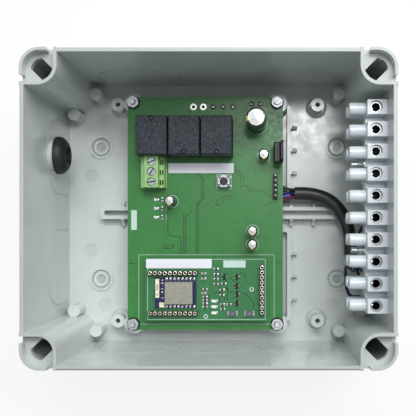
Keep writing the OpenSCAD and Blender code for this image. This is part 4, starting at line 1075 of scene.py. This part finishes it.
class RECEIVER_OT_fasteners(bpy.types.Operator):
    """Finish washers and nuts, and make the threaded screws through them"""

    bl_idname = "receiver.fasteners"
    bl_label = "Screws and nuts"

    def execute(self, context):
        dress("board_washers", "slot", ease=0.05)
        # The board nuts' sides and the strip nuts' undersides get painted shade
        dress("board_nuts", "worn_zinc", "dull_steel", rule=lambda c, n: int(abs(n.z) < 0.3), ease=0.08)
        dress("strip_nuts", "bright_zinc", "dull_steel", rule=lambda c, n: int(n.z < -0.3), ease=0.08)
        dress("board_screws", "steel", ease=0.08)
        dress("strip_bolts", "bright_zinc", ease=0.08)
        s = Shape("worn_zinc")
        nut_top, corner, nut_half = top_of("board_nuts"), 3, 3.2 * MM
        for x in (BOARD_LEFT + corner, BOARD_RIGHT - corner):
            for y in (BOARD_BOTTOM + corner, BOARD_TOP - corner):
                self.thread(s, at(x, y, nut_top), top_of("board_screws") - nut_top, "Z")
        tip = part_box("strip_bolts")[0].x
        low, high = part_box("strip_nuts")
        for y in (low.y + nut_half, high.y - nut_half):
            self.thread(s, (low.x, y, (low.z + high.z) / 2), low.x - tip, "-X")
        s.piece("screw_threads", slot="zinc_steel", smooth=20)
        return {"FINISHED"}

    def thread(self, s, spot, run, axis):
        """Ridges of a thread over a bare tip of a screw, with a rounded end."""
        pitch, core, crest = sizes().thread / MM, 1.44, 1.56
        outline = [(core, 0)]
        for i in range(int(run / sizes().thread)):
            outline += [(crest, (i + 0.4) * pitch), (crest, (i + 0.6) * pitch), (core, (i + 1) * pitch)]
        end = run / MM + 0.02
        s.turned(outline + [(core * 0.8, end), (0, end)], spot, "worn_zinc", axis)


# The cable's route, as the part's source has it, in millimetres
SHEATH = [(40, 10, 12.5), (45.8, 10, 12.5), (51.89, 9, 12.5), (57.98, 6.5, 12.5), (62.91, 2, 12.5),
          (66.39, -4, 12.5), (68.42, -10.5, 12.5), (69, -17, 12.5), (69, -22, 12.5)]
# Height of the lower entries of the strip, where the cores end
ENTRIES = 45.85
# For each core: its colour, its offset in the sheath, its lane under the board and its way to the strip
CORES = [
    ("core_blue", (0.2, 1.9), 0.4, [
        (66.5, -28, 15), (66, -34, 17.9), (66, -39, 22.1), (67.5, -42, 26), (71, -42, 30), (75.5, -43.5, 36.1)]),
    ("core_red", (2.1, 0.7), -3.6, [(71.5, -27, 15), (72, -31, 19.5), (73.5, -33, 26), (75.5, -33.5, 36.1)]),
    ("core_violet", (1.1, -1.4), -1.7, [
        (72, -27, 11.5), (74.5, -30, 15), (76.5, -29, 21), (76.5, -26, 27), (75.5, -23.5, 36.1)]),
    ("core_green", (-1.2, -1.4), 1.9, [
        (68, -27, 12), (69.5, -30, 16.9), (70.5, -27.5, 23), (71.5, -21, 28), (73.5, -15, 31), (75.5, -13.5, 36.1)]),
    ("core_black", (-1.9, 0.9), 3.4, [
        (69, -25.5, 15.9), (68.5, -28, 19), (67.5, -25, 23.5), (69, -18, 26.5), (72, -9, 29), (75.5, -3.5, 36.1)]),
]


class RECEIVER_OT_cable(bpy.types.Operator):
    """Make the sheathed cable and its coloured cores"""

    bl_idname = "receiver.cable"
    bl_label = "Cable"

    def execute(self, context):
        s = Shape("sheath", "painted_hole_shade")
        s.take(routed(SHEATH, 3.35, "sheath"), "sheath")
        # The cut end: a rim of sheath round a disc of painted shade
        x, y, z = SHEATH[0]
        s.disc(2.7, 0.05, mm(x - 0.02, y, z), "painted_hole_shade", "-X")
        s.piece("sheath", stands_for=("cable_sheath",), slot="sheath_pvc", smooth=50)

        board_side, strip_side = Shape(*CORE_COLOURS), Shape(*CORE_COLOURS)
        radius = 0.8
        for colour, (across, up), lane, way in CORES:
            x, y, z = SHEATH[0]
            to_board = [
                (x + 2, y - across, z + up), (x, y - across, z + up), (x - 3, y + lane * 0.62, z - 0.2),
                (x - 6, y + lane, z - 0.5), (x - 8, y + 1.25 * lane, z + 0.4)]
            board_side.take(routed(to_board, radius, "core"), colour)
            x, y, z = SHEATH[-1]
            start = [(x + across, y + 2, z + up), (x + across, y - 1.5, z + up)]
            strip_side.take(routed(start + way + [(*way[-1][:2], ENTRIES)], radius, "core"), colour)
        board_side.piece("board_cores", stands_for=("board_wires",), slot="core_pvc", smooth=50)
        strip_side.piece("strip_cores", stands_for=("strip_wires",), slot="core_pvc", smooth=50)
        return {"FINISHED"}


class RECEIVER_PT_panel(bpy.types.Panel):
    """The receiver's pieces, and the sizes and colours that shape them"""

    bl_label = "Alert receiver"
    bl_idname = "RECEIVER_PT_panel"
    bl_space_type = "VIEW_3D"
    bl_region_type = "UI"
    bl_category = "Receiver"

    def draw(self, context):
        for operator in OPERATORS:
            self.layout.operator(operator.bl_idname)
        for group in (context.scene.receiver_sizes, context.scene.receiver_colours, context.scene.receiver_stage):
            for name in group.bl_rna.properties.keys():
                if name not in ("rna_type", "name"):
                    self.layout.prop(group, name)


OPERATORS = [
    RECEIVER_OT_stage, RECEIVER_OT_box, RECEIVER_OT_boards, RECEIVER_OT_relays, RECEIVER_OT_terminals,
    RECEIVER_OT_capacitors, RECEIVER_OT_switches, RECEIVER_OT_header, RECEIVER_OT_chips, RECEIVER_OT_radio,
    RECEIVER_OT_sockets, RECEIVER_OT_strip, RECEIVER_OT_fasteners, RECEIVER_OT_cable,
]
GROUPS = [("receiver_colours", ReceiverColours), ("receiver_sizes", ReceiverSizes), ("receiver_stage", ReceiverStage)]


def register():
    for name, group in GROUPS:
        bpy.utils.register_class(group)
        setattr(bpy.types.Scene, name, PointerProperty(type=group))
    for cls in OPERATORS + [RECEIVER_PT_panel]:
        bpy.utils.register_class(cls)


def unregister():
    for cls in reversed(OPERATORS + [RECEIVER_PT_panel]):
        bpy.utils.unregister_class(cls)
    for name, group in reversed(GROUPS):
        delattr(bpy.types.Scene, name)
        bpy.utils.unregister_class(group)


def main():
    register()
    for operator in OPERATORS:
        family, name = operator.bl_idname.split(".")
        getattr(getattr(bpy.ops, family), name)()


if __name__ == "__main__":
    main()
